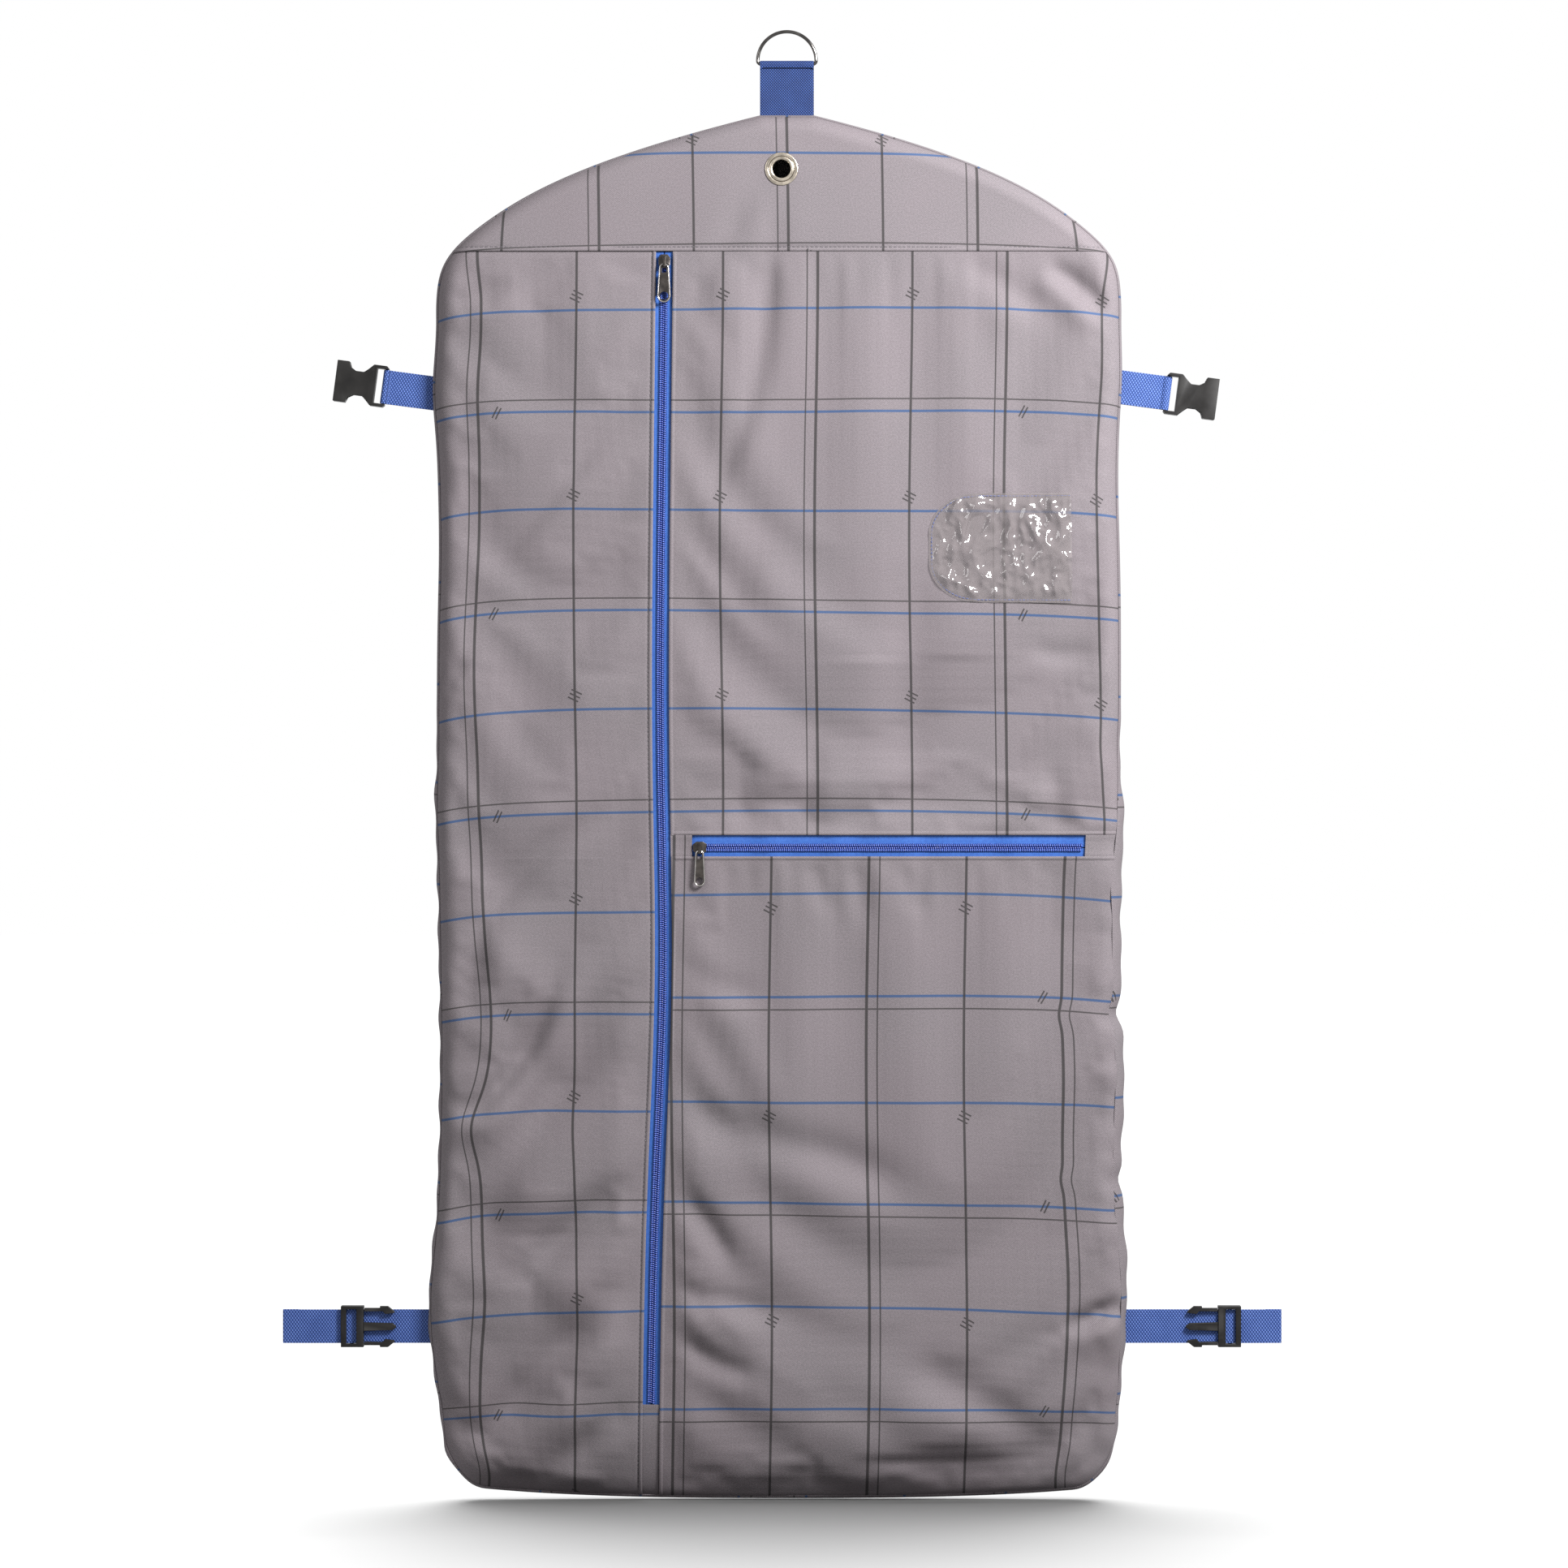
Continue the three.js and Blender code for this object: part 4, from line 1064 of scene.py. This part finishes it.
FACING = np.array([0.0, -1.0, 0.0])
ROD_PROFILE = ((-1.0, 0.35), (-0.8, 0.85), (0.0, 1.0), (0.8, 0.85), (1.0, 0.35))


def along_path(path, spacing):
    """Points every spacing along a path of pattern points, with the direction at each."""
    length = travelled(path)
    at = np.arange(spacing / 2, length[-1], spacing)
    points = np.column_stack([np.interp(at, length, path[:, k]) for k in (0, 1)])
    ahead = np.column_stack([np.interp(at + 0.5, length, path[:, k]) for k in (0, 1)])
    return points, unit(ahead - points)


def capsules(centres, along, half_length, radius, flatten=0.7, sides=6):
    """Many short rounded rods that face forwards, as one mesh: its vertices and faces."""
    along = unit(along)
    across = unit(np.cross(FACING, along))
    out = np.cross(along, across)
    vertices = []
    for place, size in ROD_PROFILE:
        for angle in np.arange(sides) * 2 * math.pi / sides:
            offset = (along * place * half_length + across * math.cos(angle) * radius * size
                      + out * math.sin(angle) * radius * size * flatten)
            vertices.append(centres + offset)
    vertices = np.stack(vertices, axis=1)
    one = []
    for base in range(0, (len(ROD_PROFILE) - 1) * sides, sides):
        for k in range(sides):
            after = (k + 1) % sides
            one.append([base + k, base + after, base + sides + after, base + sides + k])
    last = (len(ROD_PROFILE) - 1) * sides
    one.append(list(range(sides))[::-1])
    one.append([last + k for k in range(sides)])
    per = last + sides
    faces = [[index + rod * per for index in face] for rod in range(len(centres)) for face in one]
    return vertices.reshape(-1, 3), faces


def rods(name, centres, shape_of, material, body=None):
    """Rods as one piece on a body, or with no body as two halves split at the fold."""
    if body:
        piece = make_object(name, *shape_of(slice(None)), material)
        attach(piece, body)
        return
    halves = []
    for suffix, rows in (("_upper", centres[:, 2] > FOLD_SPLIT), ("_lower", centres[:, 2] <= FOLD_SPLIT)):
        halves.append(make_object(name + suffix, *shape_of(rows), material) if rows.any() else None)
    spread_over_fold(*halves)


def stitch_row(name, x, z, material, raised=0.1, spacing=3.4, length=2.5, radius=0.32, body=None):
    """A row of stitches laid on the skin along a line of pattern points."""
    points, heading = along_path(np.column_stack(np.broadcast_arrays(x, z)), spacing)
    points = points + np.random.RandomState(len(z)).uniform(-0.06, 0.06, points.shape)
    centres = skin(points[:, 0], points[:, 1], raised)
    along = skin(points[:, 0] + heading[:, 0], points[:, 1] + heading[:, 1], raised) - centres
    rods(name, centres, lambda rows: capsules(centres[rows], along[rows], length / 2, radius),
         material, body)


def seams():
    """The rows of topstitching on the front, each FROM_EDGE in from its cloth's edge."""
    z = np.linspace(ZIP_TOP - 1, BOTTOM + 6, 200)
    upper = z[z > MOUTH_TOP + 1]
    lower = z[z < MOUTH_BOTTOM - 1]
    stitch_row("zip_stitches_left", zip_edge(z, -1) - FROM_EDGE, z, DARK_THREAD, -0.25)
    stitch_row("zip_stitches_right", beside_zip(upper) + FROM_EDGE, upper, DARK_THREAD, -0.25)
    stitch_row("pocket_side_stitches", beside_zip(lower) + FROM_EDGE, lower, DARK_THREAD, 0.25)
    x = np.linspace(float(side_edge(YOKE_SEAM, -1)) + 3, float(side_edge(YOKE_SEAM, 1)) - 3, 120)
    level = np.full(len(x), YOKE_SEAM + FROM_EDGE)
    stitch_row("yoke_stitches", x, level, DARK_THREAD, 0.2, body="bag_upper")
    x = np.linspace(float(beside_zip(MOUTH_TOP)) + 3.4, float(side_edge(MOUTH_TOP, 1)) - 9, 90)
    level = np.full(len(x), MOUTH_BOTTOM - FROM_EDGE)
    stitch_row("pocket_hem_stitches", x, level, DARK_THREAD, 0.25, body="fold_spine")
    level = np.full(len(x), MOUTH_TOP + FROM_EDGE)
    stitch_row("mouth_stitches", x, level, PALE_THREAD, -0.3, body="fold_spine")


# ---------- zips

TOOTH_PITCH = 1.6
TOOTH_DEEP = 0.75
TAPE_DEEP = 1.5
TAPE_THICK = 0.6
SEWING_LINE = 1.75


def coil_shape(centre, inward, along, side):
    """One row of coil teeth: rods leaning across the zip, with a bright bend at the outer end."""
    slant = inward + along * 0.16 * side
    shape, faces = capsules(centre - inward * 1.25, slant, 1.75, 0.56, 1.0)
    heads, head_faces = capsules(centre - inward * 2.45 + FACING * 0.12, along, 0.55, 0.52, 1.0)
    faces = faces + [[index + len(shape) for index in face] for face in head_faces]
    return np.vstack([shape, heads]), faces


def coil(zip_name, word, pattern_at, along, inward, side, body=None):
    """One side's teeth and the thread that sews them down. pattern_at gives the pattern points at
    a distance to the side of the zip's middle line."""
    teeth = skin(*pattern_at(0.0), -TOOTH_DEEP)
    along, inward = (np.tile(np.array(way, float), (len(teeth), 1)) for way in (along, inward))
    rods(f"{zip_name}_teeth_{word}", teeth,
         lambda rows: coil_shape(teeth[rows], inward[rows], along[rows], side), COIL, body)
    sewn = skin(*pattern_at(side * SEWING_LINE), 0.1)
    heading = along + inward * 0.5
    rods(f"{zip_name}_chain_{word}", sewn,
         lambda rows: capsules(sewn[rows], heading[rows], 0.62, 0.26, 0.8, 5), ZIP_THREAD, body)


def tooth_places(length, side):
    """How far along a zip each tooth of one side is. The two sides' teeth alternate."""
    return 1 + (np.arange(int((length - 2) / TOOTH_PITCH)) + (0.5 if side > 0 else 0)) * TOOTH_PITCH


def main_zip():
    """The long zip: tape, teeth and sewing thread on each side, split at the fold."""
    z = steps(ZIP_TOP + 1.5, ZIP_BOTTOM - 1.5, 4.0)[:, None]
    for side, word in ((-1, "left"), (1, "right")):
        share = np.linspace(0.4, 8.6, 7) if side > 0 else np.linspace(-8.6, -0.4, 7)
        tape_at = skin(zip_x(z) + share, z, -TAPE_DEEP)
        tape = cross_fold(f"zip_tape_{word}", tape_at, TAPE, weave_at(share, z), TAPE_THICK)
        rows = ZIP_TOP - tooth_places(ZIP_TOP - ZIP_BOTTOM, side)
        coil("zip", word, lambda off: (zip_x(rows) + off, rows), (0, 0, 1), (-side, 0, 0), side)
        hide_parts(f"zip_{word}_upper")
        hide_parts(f"zip_{word}_fold", f"zip_{word}_lower")


def pocket_zip():
    """The pocket's zip, level across its mouth."""
    x = steps(POCKET_ZIP_LEFT - 1, POCKET_ZIP_RIGHT + 1, 4.0)[None, :]
    for side, word, reach in ((1, "top", 10.6), (-1, "bottom", 8.6)):
        share = np.linspace(0.4, reach, 6)[:, None] * side
        share = share[::-side]
        tape_at = skin(x, POCKET_ZIP_Z + share, -TAPE_DEEP)
        tape = grid_object(f"pocket_tape_{word}", tape_at, TAPE, weave_at(share, x), TAPE_THICK)
        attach(tape, "fold_spine")
        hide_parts(f"pocket_zip_{word}")
        columns = POCKET_ZIP_LEFT + tooth_places(POCKET_ZIP_RIGHT - POCKET_ZIP_LEFT, side)
        coil("pocket", word, lambda off: (columns, POCKET_ZIP_Z + off + 0 * columns),
             (1, 0, 0), (0, 0, -side), side, "fold_spine")


# ---------- hard pieces from their CAD nodes

SHARP_EDGE = math.radians(28)


def refined(node, name, material, bevel):
    """A copy of a CAD node's own shape with its edges rounded, standing for that node."""
    mesh = frame["nodes"][node].data.copy()
    mesh.name = name
    work = bmesh.new()
    work.from_mesh(mesh)
    bmesh.ops.remove_doubles(work, verts=work.verts, dist=1e-6)
    bmesh.ops.dissolve_limit(work, angle_limit=math.radians(2), verts=work.verts, edges=work.edges)
    for face in work.faces:
        face.smooth = True
    work.to_mesh(mesh)
    work.free()
    mesh.materials.clear()
    mesh.materials.append(material)
    piece = add_object(name, mesh)
    rounding = piece.modifiers.new("rounded_edges", "BEVEL")
    rounding.width = bevel * MM
    rounding.segments = 3
    rounding.limit_method = "ANGLE"
    rounding.angle_limit = SHARP_EDGE
    rounding.harden_normals = True
    rounding.use_clamp_overlap = True
    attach(piece, frame["nodes"][node]["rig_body"])
    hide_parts(node)
    return piece


def hardware():
    """Buckles, sliders and pulls."""
    for side in ("left", "right"):
        refined(f"buckle_socket_{side}", f"socket_{side}_shell", PLASTIC, 0.7)
        refined(f"buckle_plug_{side}", f"plug_{side}_frame", PLASTIC, 0.5)
        for place in ("top", "bottom"):
            piece = refined(f"prong_{side}_{place}", f"plug_{side}_prong_{place}", PLASTIC, 0.45)
    for which in ("main", "pocket"):
        refined(f"{which}_slider", f"{which}_slider_body", GUNMETAL, 0.35)
        refined(f"{which}_pull", f"{which}_pull_tag", GUNMETAL, 0.3)
    pull_rim("main", 7.4, 10.0)
    pull_rim("pocket", 6.6, 8.4)


def pull_rim(which, top_width, bottom_width, edge=0.55):
    """The raised edge that runs round a pull. Its paler metal paints the highlight along the rim."""
    node = f"{which}_pull"
    lo, hi, centre = low(node), high(node), middle(node)
    top, bottom = top_width / 2 - edge, bottom_width / 2 - edge
    turn = np.linspace(0, math.pi, 16)
    upper = np.column_stack([top * np.cos(turn), hi.z - edge - top + top * np.sin(turn)])
    lower = np.column_stack([-bottom * np.cos(turn), lo.z + edge + bottom - bottom * np.sin(turn)])
    flat = np.vstack([upper, lower])
    path = np.column_stack([centre.x + flat[:, 0], np.full(len(flat), lo.y + 0.05), flat[:, 1]])
    piece = tube(f"{which}_pull_edge", path, edge, RIM_HIGHLIGHT_METAL, 10)
    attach(piece, frame["nodes"][node]["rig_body"])


def loop_faces(count, sides):
    """The quads of a closed chain of count rings, each of sides points."""
    faces = []
    for r in range(count):
        for k in range(sides):
            r2, k2 = (r + 1) % count, (k + 1) % sides
            faces.append([r * sides + k, r * sides + k2, r2 * sides + k2, r2 * sides + k])
    return faces


def tube(name, path, radius, material, sides=20):
    """A round wire along a closed path of points."""
    tangent = unit(np.roll(path, -1, axis=0) - np.roll(path, 1, axis=0))
    across = unit(np.cross(tangent, FACING))
    angles = np.linspace(0, 2 * math.pi, sides, endpoint=False)[None, :, None]
    rings = path[:, None] + radius * (np.cos(angles) * across[:, None] + np.sin(angles) * FACING)
    return make_object(name, rings, loop_faces(len(path), sides), material)


def ring():
    """The D-ring: a half circle on two short legs that turn in to meet the bar."""
    lo, hi = low("d_ring"), high("d_ring")
    wire = (hi.y - lo.y) / 2
    radius = (hi.x - lo.x) / 2 - wire
    bar = lo.z + wire
    centre = hi.z - wire - radius
    arch = np.linspace(0, math.pi, 60)
    arc = np.column_stack([radius * np.cos(arch), centre + radius * np.sin(arch)])
    bend = 3.4
    inner = radius - bend
    turn = np.linspace(0, math.pi / 2, 8)[1:]
    corner = np.column_stack([inner + bend * np.cos(turn), centre - (centre - bar) * np.sin(turn)])
    bottom = np.column_stack([np.linspace(inner, -inner, 24)[1:-1], np.full(22, bar)])
    mirrored = corner * [-1, 1]
    flat = np.vstack([arc, mirrored, bottom[::-1], corner[::-1]])
    path = np.column_stack([flat[:, 0], np.zeros(len(flat)), flat[:, 1]])
    piece = tube("hanging_ring", path, wire, DARK_CHROME)
    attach(piece, "ring")
    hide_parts("d_ring")


def lathe(name, profile, centre, material, sides=72):
    """A closed profile of (radius, forward) points turned about a line through centre along Y."""
    profile = np.asarray(profile, float)
    angles = np.linspace(0, 2 * math.pi, sides, endpoint=False)
    x = centre.x + profile[:, :1] * np.cos(angles)
    z = centre.z + profile[:, :1] * np.sin(angles)
    y = np.broadcast_to(-profile[:, 1:], x.shape)
    rings = np.stack([x, y, z], -1)
    piece = make_object(name, rings, loop_faces(len(profile), sides), material)
    work = bmesh.new()
    work.from_mesh(piece.data)
    bmesh.ops.recalc_face_normals(work, faces=work.faces)
    work.to_mesh(piece.data)
    work.free()
    return piece


def eyelet():
    """A brass grommet: a stepped flange that rolls over into its barrel, and the washer behind."""
    outer = high("eyelet").x - EYELET.x
    face = -low("eyelet").y
    back = -high("eyelet").y
    hole = 6.5
    seat = -FRONT + 0.3
    roll = [(hole + 1.5 + 1.5 * math.cos(a), face - 1.3 + 1.3 * math.sin(a))
            for a in np.linspace(math.pi, 0.12, 14)]
    step = [(outer - 2.9, seat + 0.75), (outer - 2.5, seat + 0.95), (outer - 1.2, seat + 1.0)]
    rim = [(outer - 0.7 + 0.7 * math.cos(a), seat + 0.45 + 0.5 * math.sin(a))
           for a in np.linspace(math.pi / 2, -math.pi / 2, 8)]
    inside = [(hole + 0.8, seat - 0.05), (hole + 0.8, back), (hole, back), (hole, seat)]
    piece = lathe("eyelet_flange", roll + step + rim + inside, EYELET, NICKEL)
    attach(piece, "bag_upper")
    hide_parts("eyelet")
    washer = refined("eyelet_washer", "eyelet_back_washer", NICKEL, 0.2)


# ---------- webbing

WEB_THICK = 1.3
WEB_FLARE = 7.0
HEM_THICK = 1.2
STRAP_WIDTH = 25.0


def web_strip(name, path, normals, width, across, material, body, node, thickness=WEB_THICK):
    """Webbing along a path of points, with its width along the direction across."""
    share = steps(-width / 2, width / 2, 1.0)
    edge = smooth(np.abs(share), width / 2 - 0.2, width / 2 - 1.4)
    crown_up = 0.12 * (edge - 1)[None, :, None]
    points = path[:, None] + share[None, :, None] * np.array(across, float) + normals[:, None] * crown_up
    faces = grid_faces(*points.shape[:2])
    a, b, c = (points.reshape(-1, 3)[corner] for corner in faces[0][:3])
    if np.dot(np.cross(b - a, c - b), normals[0]) < 0:
        faces = [face[::-1] for face in faces]
    coords = weave_at(share[None, :], travelled(path)[:, None])
    piece = thicken(make_object(name, points, faces, material, coords), thickness)
    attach(piece, body)
    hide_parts(node)


def hairpin(start, length, bar_radius, half_gap):
    """A path out, round a bar and back, as (out, side) points with their outward normals."""
    out = through([(start, half_gap), (length - WEB_FLARE, half_gap),
                   (length - WEB_FLARE * 0.45, mix(half_gap, bar_radius, 0.55)),
                   (length - 0.5, bar_radius)], 26)
    arc = np.linspace(math.pi / 2, -math.pi / 2, 14)[1:-1]
    turn = np.column_stack([length + bar_radius * np.cos(arc), bar_radius * np.sin(arc)])
    path = np.vstack([out, turn, out[::-1] * [1, -1]])
    tangent = unit(np.gradient(path, axis=0))
    return path, np.column_stack([-tangent[:, 1], tangent[:, 0]])


def hanging_loop():
    """The doubled webbing that joins the ring to the neck."""
    bar = low("d_ring").z + 1.3
    flat, normal = hairpin(TOP - 14, bar, 2.7, 2.1)
    path = np.column_stack([np.zeros(len(flat)), -flat[:, 1], flat[:, 0]])
    normals = np.column_stack([np.zeros(len(flat)), -normal[:, 1], normal[:, 0]])
    width = high("hanging_loop").x - low("hanging_loop").x
    web_strip("hanging_webbing", path, normals, width, (1, 0, 0), LOOP_WEB, "bag_upper", "hanging_loop")


def joint_place(child):
    """Where the joint of a body is, in millimetres."""
    return Vector(next(joint for joint in frame["joints"] if joint["child"] == child)["pos_m"]) / MM


def upper_strap(body, socket):
    """The short webbing loop that holds a buckle socket. Its node has its body's name."""
    root, bar = joint_place(body), joint_place(socket)
    outward = np.array((bar - root).normalized())
    across = (-outward[2], 0.0, outward[0])
    flat, normal = hairpin(-3.0, (bar - root).length, 2.6, 1.35)
    path = np.array(root) + flat[:, :1] * outward + flat[:, 1:] * FACING
    normals = normal[:, :1] * outward + normal[:, 1:] * FACING
    web_strip(body + "_web", path, normals, STRAP_WIDTH, across, STRAP_WEB, body, body)


def lower_strap(side, body):
    """The long adjusting strap, its tail folded back and hemmed. Its node has its body's name."""
    lo, hi = low(body), high(body)
    root, tail = (hi.x + 3, lo.x) if side < 0 else (lo.x - 3, hi.x)
    hem, curl_radius, seat = 11.0, 0.9, -0.65
    x = steps(root, tail, 1.0)
    wave = 0.5 * np.sin(np.abs(x - root) / 19)
    curl = np.linspace(0, math.pi, 8)[1:]
    curl_x = tail + side * curl_radius * np.sin(curl)
    curl_y = wave[-1] + seat + curl_radius * (1 - np.cos(curl))
    back_x = steps(tail - side * 1.0, tail - side * hem, 1.0)
    back_y = np.full(len(back_x), wave[-1] + seat + 2 * curl_radius)
    path = np.column_stack([np.concatenate([x, curl_x, back_x]),
                            np.concatenate([wave + seat, curl_y, back_y]),
                            np.full(len(x) + len(curl) + len(back_x), middle(body).z)])
    tangent = unit(np.gradient(path, axis=0))
    normals = np.column_stack([tangent[:, 1], -tangent[:, 0], tangent[:, 2] * 0]) * side
    web_strip(body + "_web", path, normals, hi.z - lo.z, (0, 0, 1), STRAP_WEB, body, body, HEM_THICK)


def straps():
    """The hanging loop and the four side straps."""
    hanging_loop()
    for side, word in ((-1, "left"), (1, "right")):
        upper_strap(f"strap_upper_{word}", f"socket_{word}")
        lower_strap(side, f"strap_lower_{word}")


# ---------- card window

WINDOW_LOW = low("card_window")
WINDOW_HIGH = high("card_window")
WINDOW_ROUND_X = 36
WINDOW_ROUND_Z = 30


def window_edge_x(z, inset=0.0):
    """The window's left edge: it is straight on the right, and rounded into the left."""
    round_x, round_z = WINDOW_ROUND_X - inset, WINDOW_ROUND_Z - inset
    bottom, top = WINDOW_LOW.z + inset, WINDOW_HIGH.z - inset
    off = np.maximum(np.maximum(z - (top - round_z), (bottom + round_z) - z), 0)
    return WINDOW_LOW.x + inset + round_x * (1 - np.sqrt(np.clip(1 - (off / round_z)**2, 0, 1)))


def crumple(x, z):
    """Creases of stiff film: sharp ridges where slow waves cross zero."""
    total = np.zeros(np.shape(x))
    for seed, size, share in ((3, 34.0, 0.09), (4, 21.0, 0.12), (9, 12.0, 0.10)):
        wave = ripple(x, z, seed, size * 1.5, size * 0.8, 9)
        total += (0.6 - np.sqrt(wave**2 + 0.02)) * size * share
    return total


def card_window():
    """The film, loose and crumpled inside its sewn edge, and the stitches round it."""
    right, bottom, top = WINDOW_HIGH.x, WINDOW_LOW.z, WINDOW_HIGH.z
    z = steps(top, bottom, 0.9)[:, None]
    x0 = window_edge_x(z)
    x = x0 + (right - x0) * np.linspace(0, 1, 118)
    inside = np.minimum(np.minimum(x - x0, top - z), z - bottom)
    loose = smooth(inside, 1.5, 9)
    puff = 1.3 * loose + crumple(x, z) * (0.25 + 0.75 * loose)
    points = skin(x, z, 0.55 + np.maximum(puff, 0.0))
    piece = grid_object("card_window_film", points, VINYL, weave_at(x, z), 0.25)
    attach(piece, "bag_upper")
    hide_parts("card_window")
    inset = 2.0
    down = np.linspace(top - inset, bottom + inset, 60)
    edge_x = window_edge_x(down, inset)
    path_x = np.concatenate([np.linspace(right, edge_x[0], 30)[:-1], edge_x,
                             np.linspace(edge_x[-1], right, 30)[1:]])
    path_z = np.concatenate([np.full(29, top - inset), down, np.full(29, bottom + inset)])
    stitch_row("window_stitches", path_x, path_z, NAVY_THREAD, 0.9, 2.8, 2.2, 0.26, body="bag_upper")


# ---------- stage, light and camera

VIEW_WIDTH = 1.1592
VIEW_CENTRE = Vector((-0.00216, FRONT * MM, -0.558))
LENS, SENSOR = 100.0, 36.0
FLOOR_DROP = 1.5
FLOOR_REACH = 12000.0

# The two soft boxes: where each stands, where it points, its size in metres, its power in watts.
KEY_LIGHT = ((0.98, -1.02, 0.42), (0.1, 0, -0.34), (0.5, 0.5), 128)
FILL_LIGHT = ((-1.6, -1.7, 0.5), (0, 0, -0.3), (0.8, 1.0), 14)

# The wide light overhead, which only lights the floor.
OVER_STRENGTH = 8.4
OVER_SPREAD = math.radians(56)
OVER_FROM = Vector((0.0, 0.46, 0.95))


def camera():
    """The camera, square on to the front."""
    data = bpy.data.cameras.new("camera")
    data.lens = LENS
    data.sensor_width = SENSOR
    cam = add_object("camera", data)
    cam.location = VIEW_CENTRE + Vector((0, -VIEW_WIDTH * LENS / SENSOR, 0))
    cam.rotation_euler = (math.pi / 2, 0, 0)
    bpy.context.scene.camera = cam


def floor():
    """A plain pale floor just under the bag."""
    n = Nodes("studio_floor")
    dust = n.noise(3.0, 2.0, n.place())
    white = n.blend(n.ramp(dust, 0.3, 0.7), (0.30, 0.30, 0.30, 1), (0.31, 0.31, 0.31, 1))
    material = n.set(Base_Color=white, Roughness=0.9)
    corners = [(x * FLOOR_REACH, y * FLOOR_REACH, BOTTOM - FLOOR_DROP)
               for x, y in ((-1, -1), (1, -1), (1, 1), (-1, 1))]
    piece = make_object("studio_floor", corners, [[0, 1, 2, 3]], material)
    return piece


def soft_box(name, at, aim, size, power):
    """A rectangular area light that points at aim."""
    data = bpy.data.lights.new(name, "AREA")
    data.shape = "RECTANGLE"
    data.size, data.size_y = size
    data.energy = power
    light = add_object(name, data)
    light.location = at
    light.rotation_euler = (Vector(aim) - Vector(at)).to_track_quat("-Z", "Y").to_euler()
    return light


def collected(name, pieces):
    """A collection of pieces, for a light to be kept to or kept off."""
    collection = bpy.data.collections.new(name)
    for piece in pieces:
        collection.objects.link(piece)
    return collection


def keep_off(light, piece):
    """Shades a light from one piece, as a flag on a stand would."""
    shaded = collected(f"{light.name}_flag", [piece])
    shaded.collection_objects[0].light_linking.link_state = "EXCLUDE"
    light.light_linking.receiver_collection = shaded


def lights(ground, standing):
    """A white sky, two soft boxes on the bag, and the floor's own light, which only the pieces
    standing near the floor shade."""
    world = bpy.data.worlds.new("studio")
    world.use_nodes = True
    world.node_tree.nodes["Background"].inputs["Color"].default_value = (1, 1, 1, 1)
    world.node_tree.nodes["Background"].inputs["Strength"].default_value = 1.0
    bpy.context.scene.world = world
    keep_off(soft_box("key", *KEY_LIGHT), ground)
    keep_off(soft_box("fill", *FILL_LIGHT), ground)
    sun = bpy.data.lights.new("over", "SUN")
    sun.energy = OVER_STRENGTH
    sun.angle = OVER_SPREAD
    over = add_object("over", sun)
    over.rotation_euler = OVER_FROM.to_track_quat("Z", "Y").to_euler()
    over.light_linking.receiver_collection = collected("over_lit", [ground])
    over.light_linking.blocker_collection = collected("over_blockers", standing)
    bpy.context.scene.view_settings.view_transform = "Standard"


# ---------- the whole bag

camera()
left_panel()
right_panel()
pocket_panel()
yoke()
tab("tab_left", "pocket_tab_left", beside_zip, lambda z: np.full(len(z), POCKET_ZIP_LEFT))
tab("tab_right", "pocket_tab_right", lambda z: np.full(len(z), POCKET_ZIP_RIGHT), beside_gusset)
zip_patch()
back_panel()
gusset(-1)
gusset(1)
pocket_lining()
main_zip()
pocket_zip()
seams()
hardware()
ring()
eyelet()
straps()
card_window()
lights(floor(), [piece for piece in bpy.data.objects if "_lower" in piece.name and piece.type == "MESH"])
